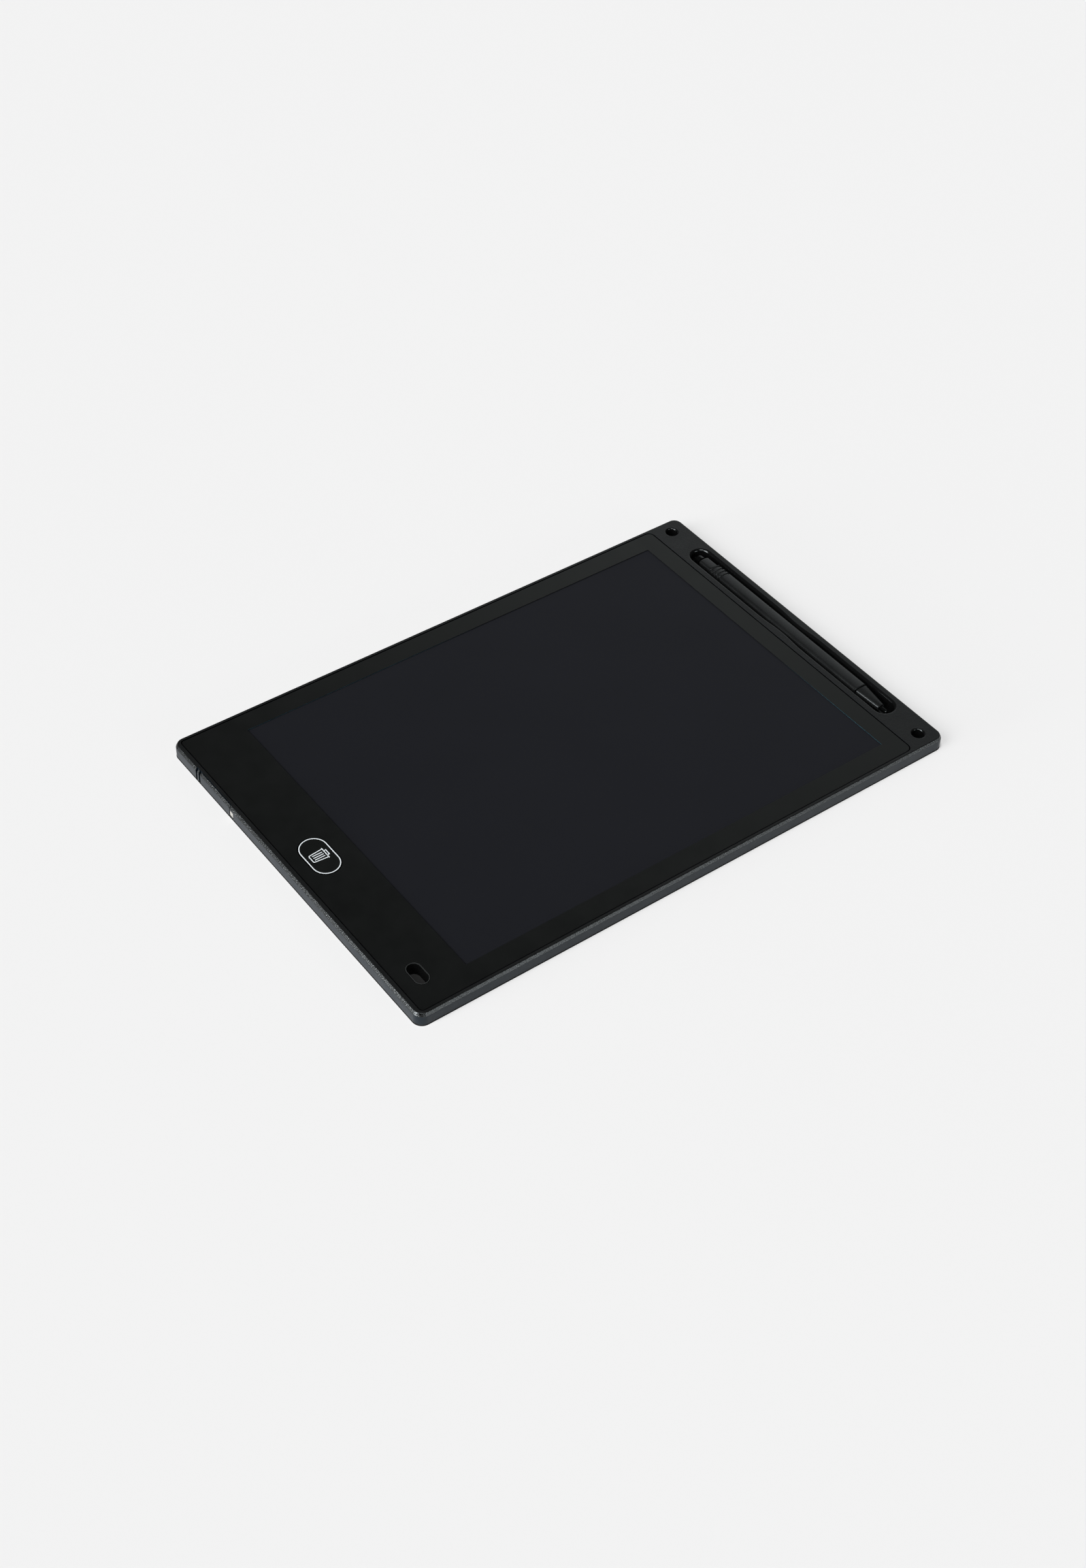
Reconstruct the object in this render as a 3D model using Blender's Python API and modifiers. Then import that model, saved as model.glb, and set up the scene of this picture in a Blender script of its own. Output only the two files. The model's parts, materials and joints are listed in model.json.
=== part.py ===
"""LCD writing tablet with a stylus in its top bar, an erase key and a coin cell drawer.

Metres, +Z up. The tablet lies on its back, centred on the origin, with the stylus end towards +Y.
"""

import math

import bmesh
import bpy
from mathutils import Matrix, Vector

OBJECT_NAME = "lcd_writing_tablet"

# Clearances
FIT_GAP = 0.0003
LAYER_GAP = 0.0001
SHEET_GAP = 0.0004

# Screen window and the black border round it
SCREEN_WIDTH = 0.1280
SCREEN_LENGTH = 0.1732
SCREEN_SIDE_MARGIN = 0.0079
SCREEN_TOP_MARGIN = 0.0074
PANEL_TOP_RADIUS = 0.0025

# Casing
RIM_SIDE = 0.0016
RIM_LOW = 0.0020
CORNER_RADIUS = 0.0035
FRONT_RUN = 0.00065
FRONT_FALL = 0.0012
FRONT_SOFT = 0.0002
REAR_ROUND = 0.0007
DECK_THICKNESS = 0.0009
COVER_THICKNESS = 0.0009
COVER_RADIUS = 0.0020
MOUTH_INSET = 0.0030
LEDGE_WIDTH = 0.0010

# Sheets of the writing panel, from the deck up
TAPE_THICKNESS = 0.0001
TAPE_WIDTH = 0.0025
TAPE_INSET = 0.0010
BACKING_MARGIN = 0.0015
LCD_THICKNESS = 0.0004
MASK_THICKNESS = 0.0002
MASK_SINK = 0.0001

# Stylus and the slot that holds it: radii are half heights, and its section is wider than it is high
PEN_RADIUS = 0.0020
PEN_ASPECT = 1.375
PEN_SECTION = 0.5
PEN_WALL = 0.0006
PEN_SIDE_PLAY = 0.00095
PEN_TAIL_PLAY = 0.0016
PEN_TIP_PLAY = 0.0014
PLUG_COLLAR = 0.00145
PLUG_STEP = 0.0003
PIN_RADIUS = 0.0005
TAIL_LENGTH = 0.0062
TAIL_STEP = 0.00035
TAIL_ROUND = 0.0010
SPIGOT_LENGTH = 0.0040
GROOVE_COUNT = 4
GROOVE_WIDTH = 0.0010
GROOVE_DEPTH = 0.0003
RIDGE_WIDTH = 0.0007
PEN_EDGE = 0.0002
NOSE_GAP = 0.0004
NOSE_LENGTH = 0.0104
NOSE_STEP = 0.0001
NOSE_TIP_WALL = 0.0003
NIB_LENGTH = 0.0033
NIB_RADIUS = 0.0007
NIB_SHANK = 0.0050
SLOT_FLOOR = 0.0010
SLOT_LIP = 0.0010
SLOT_FILLET = 0.0015
WAIST_LENGTH = 0.0240
BAR_UPPER_MARGIN = 0.00245
BAR_LOWER_MARGIN = 0.0019

# Hanging holes beside the slot and the lanyard hole in the lower border
HANG_RADIUS = 0.0021
HANG_LIP = 0.0006
HANG_INSET = 0.0063
HANG_TO_SLOT = 0.0137
LANYARD_LENGTH = 0.0088
LANYARD_WIDTH = 0.0046
LANYARD_INSET = 0.0150
LANYARD_RISE = 0.0098
LANYARD_COLLAR = 0.0004
LANYARD_LAND = 0.0006
LANYARD_FLARE = 0.0003
COLLAR_EDGE = 0.00013

# Erase key and its switch
KEY_X = -0.0004
KEY_LENGTH = 0.0174
KEY_WIDTH = 0.0101
KEY_PLATE = 0.0008
KEY_WALL = 0.0010
KEY_LUG = 0.0010
KEY_FLANGE = 0.0003
KEY_TRAVEL = 0.0003
KEY_MARGIN = 0.00205
KEY_TO_SCREEN = 0.00675
KEY_EDGE = 0.00015
NUB_RADIUS = 0.0015
NUB_LENGTH = 0.0006
SWITCH_SIDE = 0.0052
SWITCH_FLOOR = 0.0001
SWITCH_COVER = 0.0001
PLUNGER_RADIUS = 0.0012
PLUNGER_GUIDE = 0.0003

# Coin cell, its drawer and its contacts
CELL_DIAMETER = 0.0200
CELL_THICKNESS = 0.0016
CELL_CAP_STEP = 0.0014
CELL_CAP_RISE = 0.0003
CELL_PLAY = 0.0003
CELL_FRONT = 0.0011
DRAWER_INSET = 0.0156
DRAWER_CHEEK = 0.0003
DRAWER_SLIT = 0.00095
DRAWER_ARM = 0.0010
ARM_SLIT_DEPTH = 0.0046
CAP_THICKNESS = 0.0006
TRAY_FLOOR = 0.0004
TRAY_SINK = 0.0001
TRAY_BACK = 0.0009
TRAY_RELIEF = 0.0080
BAY_ROOF = 0.0004
CONTACT_THICKNESS = 0.00015
CONTACT_ROOM = 0.00015
CONTACT_WIDTH = 0.0040
CONTACT_FOOT = 0.0020
BLADE_POCKET = 0.00205
BLADE_REACH = 0.0040
BLADE_SETBACK = 0.0001

# Circuit board and what it carries
BOARD_THICKNESS = 0.0006
BOARD_WALL_GAP = 0.0005
BOARD_BESIDE_KEY = 0.00595
BOARD_ABOVE_KEY = 0.0003
CHIP_SIZE = (0.0044, 0.0036, 0.0007)
CHIP_PLACE = (0.0100, 0.0066)
COIL_SIZE = (0.0036, 0.0036, 0.0007)
COIL_PLACE = (0.0052, 0.0074)
CAPACITOR_SIZE = (0.0020, 0.00125, 0.0006)
CAPACITOR_PLACES = ((0.0082, 0.0020), (0.0112, 0.0020))
RESISTOR_SIZE = (0.0016, 0.0008, 0.0004)
RESISTOR_PLACES = ((0.0082, 0.0038), (0.0112, 0.0038))
SCREW_INSETS = ((0.0040, 0.0024), (0.0024, 0.0024))
SCREW_RADIUS = 0.0006
SCREW_HEAD_RADIUS = 0.0013
SCREW_HEAD = 0.0003
SCREW_ROOF = 0.0005
BOSS_RADIUS = 0.0018
FLEX_PLACE = 0.0095
FLEX_WIDTH = 0.0050
FLEX_THICKNESS = 0.0001
FLEX_FOOT = 0.0030
FLEX_RUN = 0.0025

# Rear cover's hooks and ribs
HOOK_COUNT = 3
HOOK_MARGIN = 0.0400
HOOK_WIDTH = 0.0060
HOOK_THICKNESS = 0.0012
HOOK_ROOM = 0.0007
HOOK_NOSE = 0.0007
HOOK_NOSE_HEIGHT = 0.0006
RIB_THICKNESS = 0.0012
RIB_SPACING = 0.0640
RIB_MARGIN = 0.0060

# Facets: steps in a quarter turn of an outline, round a turned piece, and across a rounded edge
QUARTER_STEPS = 6
TURN_STEPS = 24
WAIST_STEPS = 12
ROUND_STEPS = 4
EDGE_STEPS = 2

# How far a cutter runs past what it cuts, and how deep joined shapes sink into each other
CUT_OVERRUN = 0.0020
JOIN_SINK = 0.0002
WELD_DISTANCE = 0.000002
FLAT_ANGLE = math.radians(0.5)
SMOOTH_ANGLE = math.radians(35)

# Plan sizes that follow from the above
PEN_HALF_WIDTH = PEN_ASPECT * PEN_RADIUS
SLOT_HALF = PEN_HALF_WIDTH + PEN_SIDE_PLAY
WAIST_RISE = PEN_SIDE_PLAY - FIT_GAP
TOP_BAR = BAR_UPPER_MARGIN + 2 * (SLOT_HALF + SLOT_LIP) + BAR_LOWER_MARGIN
CAVITY_INSET = MOUTH_INSET + LEDGE_WIDTH
KEY_HIGH = CAVITY_INSET + KEY_MARGIN + KEY_LUG + KEY_WIDTH
BODY_WIDTH = SCREEN_WIDTH + 2 * (SCREEN_SIDE_MARGIN + RIM_SIDE)
BODY_LENGTH = TOP_BAR + SCREEN_TOP_MARGIN + SCREEN_LENGTH + KEY_TO_SCREEN + KEY_HIGH
RIGHT = BODY_WIDTH / 2
LEFT = -RIGHT
TOP = BODY_LENGTH / 2
BOTTOM = -TOP
PANEL_TOP = TOP - TOP_BAR
SCREEN_TOP = PANEL_TOP - SCREEN_TOP_MARGIN
SCREEN_LOW = SCREEN_TOP - SCREEN_LENGTH
SLOT_Y = TOP - BAR_UPPER_MARGIN - SLOT_LIP - SLOT_HALF
SLOT_END = RIGHT - HANG_INSET - HANG_TO_SLOT
CAVITY_LOW = BOTTOM + CAVITY_INSET
KEY_Y = BOTTOM + KEY_HIGH - KEY_WIDTH / 2
LANYARD_X = RIGHT - LANYARD_INSET
LANYARD_Y = BOTTOM + LANYARD_RISE
LANYARD_WALL = LANYARD_FLARE + LANYARD_LAND
CELL_RADIUS = CELL_DIAMETER / 2
BAY_LEFT = LEFT + DRAWER_INSET
TRAY_LEFT = BAY_LEFT + DRAWER_SLIT
TRAY_RIGHT = TRAY_LEFT + CELL_DIAMETER + 2 * DRAWER_CHEEK
BAY_RIGHT = TRAY_RIGHT + FIT_GAP
CELL_X = (TRAY_LEFT + TRAY_RIGHT) / 2
CAP_BACK = BOTTOM + CAP_THICKNESS
CELL_Y = CAP_BACK + CELL_FRONT + CELL_RADIUS
TRAY_END = CELL_Y + CELL_RADIUS + TRAY_BACK
BOARD_LEFT = BAY_RIGHT + BLADE_POCKET
BOARD_RIGHT = KEY_X + KEY_LENGTH / 2 + KEY_LUG + BOARD_BESIDE_KEY
BOARD_LOW = CAVITY_LOW + BOARD_WALL_GAP
BOARD_HIGH = KEY_Y + KEY_WIDTH / 2 + BOARD_ABOVE_KEY
BACKING_LOW = SCREEN_LOW - BACKING_MARGIN
FLEX_END = BACKING_LOW - FIT_GAP
FLEX_RISER = FLEX_END - FLEX_RUN

# Heights that follow from the above: the tallest of three stacks sets the deck, the sheets set the rim
TRAY_LOW = COVER_THICKNESS + FIT_GAP
CELL_LOW = TRAY_LOW + TRAY_FLOOR + LAYER_GAP
CELL_TOP = CELL_LOW + CELL_THICKNESS
TONGUE_LOW = CELL_TOP + LAYER_GAP
BAY_TOP = TONGUE_LOW + CONTACT_THICKNESS + CONTACT_ROOM
LEDGE_Z = COVER_THICKNESS + FIT_GAP
BOARD_Z = COVER_THICKNESS + FIT_GAP + SCREW_HEAD + LAYER_GAP
BOARD_TOP = BOARD_Z + BOARD_THICKNESS
SEAT_Z = BOARD_TOP + LAYER_GAP
SWITCH_POCKET = SEAT_Z + SWITCH_FLOOR
PLUNGER_LOW = SWITCH_POCKET + KEY_TRAVEL + LAYER_GAP
SWITCH_TOP = PLUNGER_LOW + PLUNGER_GUIDE
SWITCH_COVER_LOW = SWITCH_TOP + LAYER_GAP
PLUNGER_TOP = SWITCH_COVER_LOW + SWITCH_COVER + KEY_TRAVEL
UNDER_FILM = max(TAPE_THICKNESS, FLEX_THICKNESS) + 2 * LAYER_GAP
SHEET_STACK = UNDER_FILM + LCD_THICKNESS + LAYER_GAP + MASK_THICKNESS
CELL_STACK = BAY_TOP + BAY_ROOF
FLANGE_STACK = SEAT_Z + KEY_TRAVEL + KEY_FLANGE + FIT_GAP + DECK_THICKNESS
SWITCH_STACK = PLUNGER_TOP + LAYER_GAP + NUB_LENGTH + KEY_PLATE - SHEET_STACK
DECK_TOP = max(CELL_STACK, FLANGE_STACK, SWITCH_STACK)
DECK_LOW = DECK_TOP - DECK_THICKNESS
TAPE_LOW = DECK_TOP + LAYER_GAP
TAPE_TOP = TAPE_LOW + TAPE_THICKNESS
LCD_LOW = DECK_TOP + UNDER_FILM
MASK_TOP = DECK_TOP + SHEET_STACK
MASK_LOW = MASK_TOP - MASK_THICKNESS
BODY_THICKNESS = MASK_TOP + MASK_SINK
KEY_CEILING = MASK_TOP - KEY_PLATE
FLANGE_TOP = DECK_LOW - FIT_GAP
FLANGE_LOW = FLANGE_TOP - KEY_FLANGE
SCREW_TIP = DECK_TOP - SCREW_ROOF
HOOK_TOP = DECK_LOW - HOOK_ROOM
PEN_Z = SLOT_FLOOR + FIT_GAP + PEN_RADIUS

# Heights between which a cutter passes through the whole tablet, or through its deck
THROUGH = (-CUT_OVERRUN, BODY_THICKNESS + CUT_OVERRUN)
THROUGH_DECK = (DECK_LOW - CUT_OVERRUN, DECK_TOP + CUT_OVERRUN)

# Radii and places along the stylus, from its tail to its tip
TAIL_RADIUS = PEN_RADIUS - TAIL_STEP
PLUG_RADIUS = TAIL_RADIUS - PLUG_STEP
PIN_BORE = PIN_RADIUS + FIT_GAP
BARREL_BORE = PEN_RADIUS - PEN_WALL
SPIGOT_RADIUS = BARREL_BORE - FIT_GAP
SHANK_RADIUS = NIB_RADIUS - LAYER_GAP
NOSE_BORE = SHANK_RADIUS + FIT_GAP
NOSE_RADIUS = PEN_RADIUS - NOSE_STEP
NOSE_TIP_RADIUS = NOSE_BORE + NOSE_TIP_WALL
PEN_TAIL = -SLOT_END + PEN_TAIL_PLAY
PEN_TIP = SLOT_END - PEN_TIP_PLAY
PLUG_FRONT = PEN_TAIL + PLUG_RADIUS + PLUG_COLLAR
TAIL_START = PLUG_FRONT + FIT_GAP
TAIL_END = TAIL_START + TAIL_LENGTH
BARREL_START = TAIL_END + FIT_GAP
NOSE_END = PEN_TIP - NIB_LENGTH
NOSE_START = NOSE_END - NOSE_LENGTH
BARREL_END = NOSE_START - NOSE_GAP

# Finishes: colour, roughness, metallic
CASE_BLACK = ((0.030, 0.031, 0.033), 0.45, 0.0)
COVER_BLACK = ((0.028, 0.029, 0.031), 0.55, 0.0)
MASK_BLACK = ((0.012, 0.013, 0.013), 0.25, 0.0)
LCD_DARK = ((0.014, 0.014, 0.018), 0.35, 0.0)
KEY_BLACK = ((0.012, 0.013, 0.013), 0.30, 0.0)
PAPER_BLACK = ((0.010, 0.010, 0.010), 0.80, 0.0)
TAPE_WHITE = ((0.600, 0.580, 0.520), 0.70, 0.0)
PEN_BLACK = ((0.030, 0.031, 0.033), 0.40, 0.0)
PLUG_BLACK = ((0.008, 0.008, 0.009), 0.15, 0.0)
NIB_BLACK = ((0.020, 0.020, 0.021), 0.30, 0.0)
BOARD_GREEN = ((0.020, 0.110, 0.050), 0.50, 0.0)
CHIP_BLACK = ((0.015, 0.015, 0.016), 0.55, 0.0)
PART_TAN = ((0.420, 0.300, 0.170), 0.50, 0.0)
FLEX_AMBER = ((0.400, 0.160, 0.030), 0.35, 0.0)
CONTACT_METAL = ((0.700, 0.690, 0.650), 0.25, 1.0)
CELL_METAL = ((0.620, 0.620, 0.610), 0.30, 1.0)
SCREW_METAL = ((0.450, 0.450, 0.440), 0.35, 1.0)


def clear_scene():
    for obj in list(bpy.data.objects):
        bpy.data.objects.remove(obj, do_unlink=True)


def new_collection(name):
    collection = bpy.data.collections.new(name)
    bpy.context.scene.collection.children.link(collection)
    return collection


def add_mesh(name, mesh, matrix=None):
    """A new object in the part's collection."""
    obj = bpy.data.objects.new(name, mesh)
    PARTS.objects.link(obj)
    if matrix is not None:
        obj.matrix_world = matrix
    return obj


def paint(obj, finish):
    """Gives a piece its own material and smooth shading with sharp corners."""
    color, roughness, metallic = finish
    material = bpy.data.materials.new(obj.name)
    material.use_nodes = True
    shader = material.node_tree.nodes["Principled BSDF"]
    shader.inputs["Base Color"].default_value = (*color, 1.0)
    shader.inputs["Roughness"].default_value = roughness
    shader.inputs["Metallic"].default_value = metallic
    obj.data.materials.clear()
    obj.data.materials.append(material)
    obj.data.shade_smooth()
    obj.data.set_sharp_from_angle(angle=SMOOTH_ANGLE)
    return obj


def as_tool(obj):
    """Moves a shape that only cuts or joins others out of the part."""
    PARTS.objects.unlink(obj)
    TOOLS.objects.link(obj)
    obj.hide_render = True
    obj.display_type = "WIRE"
    return obj


def settle(obj):
    """Makes the modifiers so far part of the mesh, and clears away the slivers they leave."""
    bpy.context.view_layer.update()
    graph = bpy.context.evaluated_depsgraph_get()
    obj.data = bpy.data.meshes.new_from_object(obj.evaluated_get(graph))
    obj.modifiers.clear()
    mesh = bmesh.new()
    mesh.from_mesh(obj.data)
    bmesh.ops.remove_doubles(mesh, verts=mesh.verts, dist=WELD_DISTANCE)
    bmesh.ops.dissolve_degenerate(mesh, dist=WELD_DISTANCE, edges=mesh.edges)
    mesh.to_mesh(obj.data)
    mesh.free()
    return obj


def combine(obj, operation, tools):
    for tool in tools:
        as_tool(tool)
        modifier = obj.modifiers.new(tool.name, "BOOLEAN")
        modifier.operation = operation
        modifier.object = tool
    return settle(obj)


def cut(obj, *tools):
    return combine(obj, "DIFFERENCE", tools)


def join(obj, *tools):
    return combine(obj, "UNION", tools)


def round_edges(obj, chosen, radius, steps):
    """Rounds the edges whose two ends both pass the test."""
    mesh = bmesh.new()
    mesh.from_mesh(obj.data)
    edges = [
        edge
        for edge in mesh.edges
        if edge.calc_face_angle(0) > SMOOTH_ANGLE and all(chosen(vertex.co) for vertex in edge.verts)
    ]
    bmesh.ops.bevel(mesh, geom=edges, offset=radius, segments=steps, profile=0.5, affect="EDGES")
    mesh.to_mesh(obj.data)
    mesh.free()
    return obj


def at_height(z):
    return lambda point: abs(point.z - z) < WELD_DISTANCE


def arc(x, y, radius, start, turn, steps):
    """Points on an arc, angles in quarter turns."""
    angles = [(start + turn * i / steps) * math.pi / 2 for i in range(steps + 1)]
    return [(x + radius * math.cos(a), y + radius * math.sin(a)) for a in angles]


def rounded_rectangle(left, right, low, high, low_radius, high_radius):
    return (
        arc(left + low_radius, low + low_radius, low_radius, 2, 1, QUARTER_STEPS)
        + arc(right - low_radius, low + low_radius, low_radius, 3, 1, QUARTER_STEPS)
        + arc(right - high_radius, high - high_radius, high_radius, 0, 1, QUARTER_STEPS)
        + arc(left + high_radius, high - high_radius, high_radius, 1, 1, QUARTER_STEPS)
    )


def stadium(x, y, length, width, grow=0.0):
    """A bar with half-round ends along X, grown outwards all round."""
    radius = width / 2 + grow
    reach = (length - width) / 2
    right_end = arc(x + reach, y, radius, 3, 2, 2 * QUARTER_STEPS)
    left_end = arc(x - reach, y, radius, 1, 2, 2 * QUARTER_STEPS)
    return right_end + left_end


def circle(x, y, radius):
    return arc(x, y, radius, 0, 4, 4 * QUARTER_STEPS)[:-1]


def slot_outline():
    """The stylus slot: half-round ends, and a smooth waist on both long sides that holds the barrel."""
    reach = SLOT_END - SLOT_HALF
    places = [WAIST_LENGTH * (i / WAIST_STEPS - 0.5) for i in range(WAIST_STEPS + 1)]
    waist = [(x, SLOT_HALF - WAIST_RISE * math.cos(math.pi * x / WAIST_LENGTH) ** 2) for x in places]
    upper = [(x, SLOT_Y + y) for x, y in reversed(waist)]
    lower = [(x, SLOT_Y - y) for x, y in waist]
    right_end = arc(reach, SLOT_Y, SLOT_HALF, 3, 2, 2 * QUARTER_STEPS)
    left_end = arc(-reach, SLOT_Y, SLOT_HALF, 1, 2, 2 * QUARTER_STEPS)
    return right_end + upper + left_end + lower


def body_outline(inset, low_radius, high_radius, high=TOP):
    """The tablet's outline drawn in from its edges, up to the given Y."""
    return rounded_rectangle(LEFT + inset, RIGHT - inset, BOTTOM + inset, high, low_radius, high_radius)


def panel_outline(gap):
    """The recess that the writing panel lies in, drawn in all round."""
    side = RIGHT - RIM_SIDE - gap
    low = BOTTOM + RIM_LOW + gap
    low_radius = CORNER_RADIUS - RIM_LOW - gap
    return rounded_rectangle(-side, side, low, PANEL_TOP - gap, low_radius, PANEL_TOP_RADIUS - gap)


def curve_object(name, loops, half_height, closed):
    curve = bpy.data.curves.new(name, "CURVE")
    curve.dimensions = "2D"
    curve.fill_mode = "BOTH" if closed else "NONE"
    curve.extrude = half_height
    for loop in loops:
        spline = curve.splines.new("POLY")
        spline.points.add(len(loop) - 1)
        for point, (x, y) in zip(spline.points, loop):
            point.co = (x, y, 0.0, 1.0)
        spline.use_cyclic_u = closed
    obj = bpy.data.objects.new(name, curve)
    PARTS.objects.link(obj)
    return obj


def as_mesh(curve_obj, name):
    """Turns a curve into a welded mesh object in the same place."""
    bpy.context.view_layer.update()
    graph = bpy.context.evaluated_depsgraph_get()
    data = bpy.data.meshes.new_from_object(curve_obj.evaluated_get(graph))
    matrix = curve_obj.matrix_world.copy()
    bpy.data.objects.remove(curve_obj, do_unlink=True)
    mesh = bmesh.new()
    mesh.from_mesh(data)
    bmesh.ops.remove_doubles(mesh, verts=mesh.verts, dist=WELD_DISTANCE)
    bmesh.ops.dissolve_limit(mesh, angle_limit=FLAT_ANGLE, verts=mesh.verts, edges=mesh.edges)
    bmesh.ops.recalc_face_normals(mesh, faces=mesh.faces)
    mesh.to_mesh(data)
    mesh.free()
    return add_mesh(name, data, matrix)


def plate(name, loops, low, high):
    """A flat outline, with any inner loops as holes, between two heights."""
    obj = as_mesh(curve_object(name + "_outline", loops, (high - low) / 2, True), name)
    obj.data.transform(Matrix.Translation((0, 0, (low + high) / 2)))
    return obj


def lofted(name, levels):
    """A solid through outlines with the same number of points, (outline, height) from the bottom up."""
    count = len(levels[0][0])
    points = [(x, y, z) for outline, z in levels for x, y in outline]
    lowest = list(range(count))
    highest = list(range(len(points) - count, len(points)))
    faces = [lowest[::-1], highest]
    for start in range(0, len(points) - count, count):
        for i in range(count):
            after = (i + 1) % count
            faces.append((start + i, start + after, start + count + after, start + count + i))
    data = bpy.data.meshes.new(name)
    data.from_pydata(points, [], faces)
    return add_mesh(name, data)


def block(name, x_span, y_span, z_span):
    """A box between three pairs of limits."""
    spans = (x_span, y_span, z_span)
    middle = Matrix.Translation([(low + high) / 2 for low, high in spans])
    size = Matrix.Diagonal([*(high - low for low, high in spans), 1.0])
    mesh = bmesh.new()
    bmesh.ops.create_cube(mesh, size=1.0, matrix=middle @ size)
    data = bpy.data.meshes.new(name)
    mesh.to_mesh(data)
    mesh.free()
    return add_mesh(name, data)


def around(middle, width):
    return (middle - width / 2, middle + width / 2)


def strip(name, path, width, thickness, matrix):
    """A bent ribbon of sheet: a path in the matrix's XY plane, with its width across that plane."""
    obj = as_mesh(curve_object(name + "_path", [path], width / 2, False), name)
    obj.data.transform(matrix)
    solid = obj.modifiers.new("thickness", "SOLIDIFY")
    solid.thickness = thickness
    solid.offset = 0.0
    solid.use_even_offset = True
    return settle(obj)


def turned(name, profile, matrix, closed=False):
    """A profile of (radius, height) points, top to bottom on its outer side, turned about the matrix's Z."""
    data = bpy.data.meshes.new(name)
    count = len(profile)
    ends = [(i, (i + 1) % count) for i in range(count if closed else count - 1)]
    data.from_pydata([(radius, 0.0, height) for radius, height in profile], ends, [])
    obj = add_mesh(name, data, matrix)
    screw = obj.modifiers.new("turn", "SCREW")
    screw.steps = TURN_STEPS
    screw.render_steps = TURN_STEPS
    screw.use_merge_vertices = True
    screw.merge_threshold = WELD_DISTANCE
    return settle(obj)


def flat_topped(obj, start, end):
    """Gives a turned piece its wide, flat-topped section, which becomes a plain ellipse from start to end."""
    for vertex in obj.data.vertices:
        high, across, along = vertex.co
        radius = math.hypot(high, across)
        if radius > WELD_DISTANCE:
            share = min(max((along - start) / (end - start), 0.0), 1.0)
            power = PEN_SECTION + (1.0 - PEN_SECTION) * share
            tall = math.copysign(radius * abs(high / radius) ** power, high)
            wide = math.copysign(radius * abs(across / radius) ** power, across)
            vertex.co = (tall, PEN_ASPECT * wide, along)
    return obj


def carried(name, place, *pieces):
    """Hangs the pieces of a moving body on an empty that sits on its line of travel."""
    empty = bpy.data.objects.new(name, None)
    empty.location = place
    PARTS.objects.link(empty)
    for piece in pieces:
        piece.parent = empty
        piece.matrix_parent_inverse = Matrix.Translation(place).inverted()


def soft_corner(start, corner, end, reach):
    """Points on a short curve that cuts the corner of a profile between two other points."""
    corner = Vector(corner)
    first = corner + (Vector(start) - corner).normalized() * reach
    last = corner + (Vector(end) - corner).normalized() * reach
    shares = [i / EDGE_STEPS for i in range(EDGE_STEPS + 1)]
    return [first.lerp(corner, share).lerp(corner.lerp(last, share), share) for share in shares]


def body_blank(name):
    """The tablet's whole outer form, with a rounded rear edge and a steep chamfer round the front."""
    rear = arc(REAR_ROUND, REAR_ROUND, REAR_ROUND, 3, -1, ROUND_STEPS)
    foot = (0.0, BODY_THICKNESS - FRONT_FALL)
    head = (FRONT_RUN, BODY_THICKNESS)
    inside = (2 * FRONT_RUN, BODY_THICKNESS)
    front = soft_corner((0.0, 0.0), foot, head, FRONT_SOFT) + soft_corner(foot, head, inside, FRONT_SOFT)
    levels = []
    for inset, z in [*rear, *front]:
        radius = CORNER_RADIUS - inset
        levels.append((body_outline(inset, radius, radius, TOP - inset), z))
    return lofted(name, levels)


def key_outline(grow):
    return stadium(KEY_X, KEY_Y, KEY_LENGTH, KEY_WIDTH, grow)


def lanyard_outline(grow):
    return stadium(LANYARD_X, LANYARD_Y, LANYARD_LENGTH, LANYARD_WIDTH, grow)


def screw_places():
    """Inside the board's lower left and upper right corners."""
    (left, low), (right, high) = SCREW_INSETS
    return (
        (BOARD_LEFT + left, BOARD_LOW + low),
        (BOARD_RIGHT - right, BOARD_HIGH - high),
    )


def hook_places():
    low = CAVITY_LOW + HOOK_MARGIN
    high = PANEL_TOP - LEDGE_WIDTH - HOOK_MARGIN
    return [low + (high - low) * i / (HOOK_COUNT - 1) for i in range(HOOK_COUNT)]


def carve_top_bar(housing):
    """Cuts the stylus slot and the hanging holes, and rounds their lips."""
    hang_x = RIGHT - HANG_INSET
    cut(
        housing,
        plate("slot_cutter", [slot_outline()], SLOT_FLOOR, BODY_THICKNESS + CUT_OVERRUN),
        plate("left_hang_cutter", [circle(-hang_x, SLOT_Y, HANG_RADIUS)], *THROUGH),
        plate("right_hang_cutter", [circle(hang_x, SLOT_Y, HANG_RADIUS)], *THROUGH),
    )
    near_slot = SLOT_HALF + SLOT_LIP
    near_hang = HANG_RADIUS + HANG_LIP

    def beside_hang(point):
        return math.hypot(abs(point.x) - hang_x, point.y - SLOT_Y) < near_hang

    def on_slot(z):
        return lambda p: at_height(z)(p) and abs(p.y - SLOT_Y) < near_slot and abs(p.x) < SLOT_END + SLOT_LIP

    round_edges(housing, on_slot(BODY_THICKNESS), SLOT_LIP, ROUND_STEPS)
    round_edges(housing, on_slot(SLOT_FLOOR), SLOT_FILLET, ROUND_STEPS)
    for z in (0.0, BODY_THICKNESS):
        round_edges(housing, lambda p, z=z: at_height(z)(p) and beside_hang(p), HANG_LIP, ROUND_STEPS)


def hollow_housing(housing):
    """The recess for the writing panel in front, and the cavity behind the deck with its ledge."""
    mouth = body_outline(MOUTH_INSET, COVER_RADIUS, COVER_RADIUS, PANEL_TOP)
    cavity = body_outline(CAVITY_INSET, COVER_RADIUS, COVER_RADIUS, PANEL_TOP - LEDGE_WIDTH)
    cut(
        housing,
        plate("panel_cutter", [panel_outline(0.0)], DECK_TOP, BODY_THICKNESS + CUT_OVERRUN),
        plate("mouth_cutter", [mouth], -CUT_OVERRUN, LEDGE_Z),
        plate("cavity_cutter", [cavity], LEDGE_Z - JOIN_SINK, DECK_LOW),
    )


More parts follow.
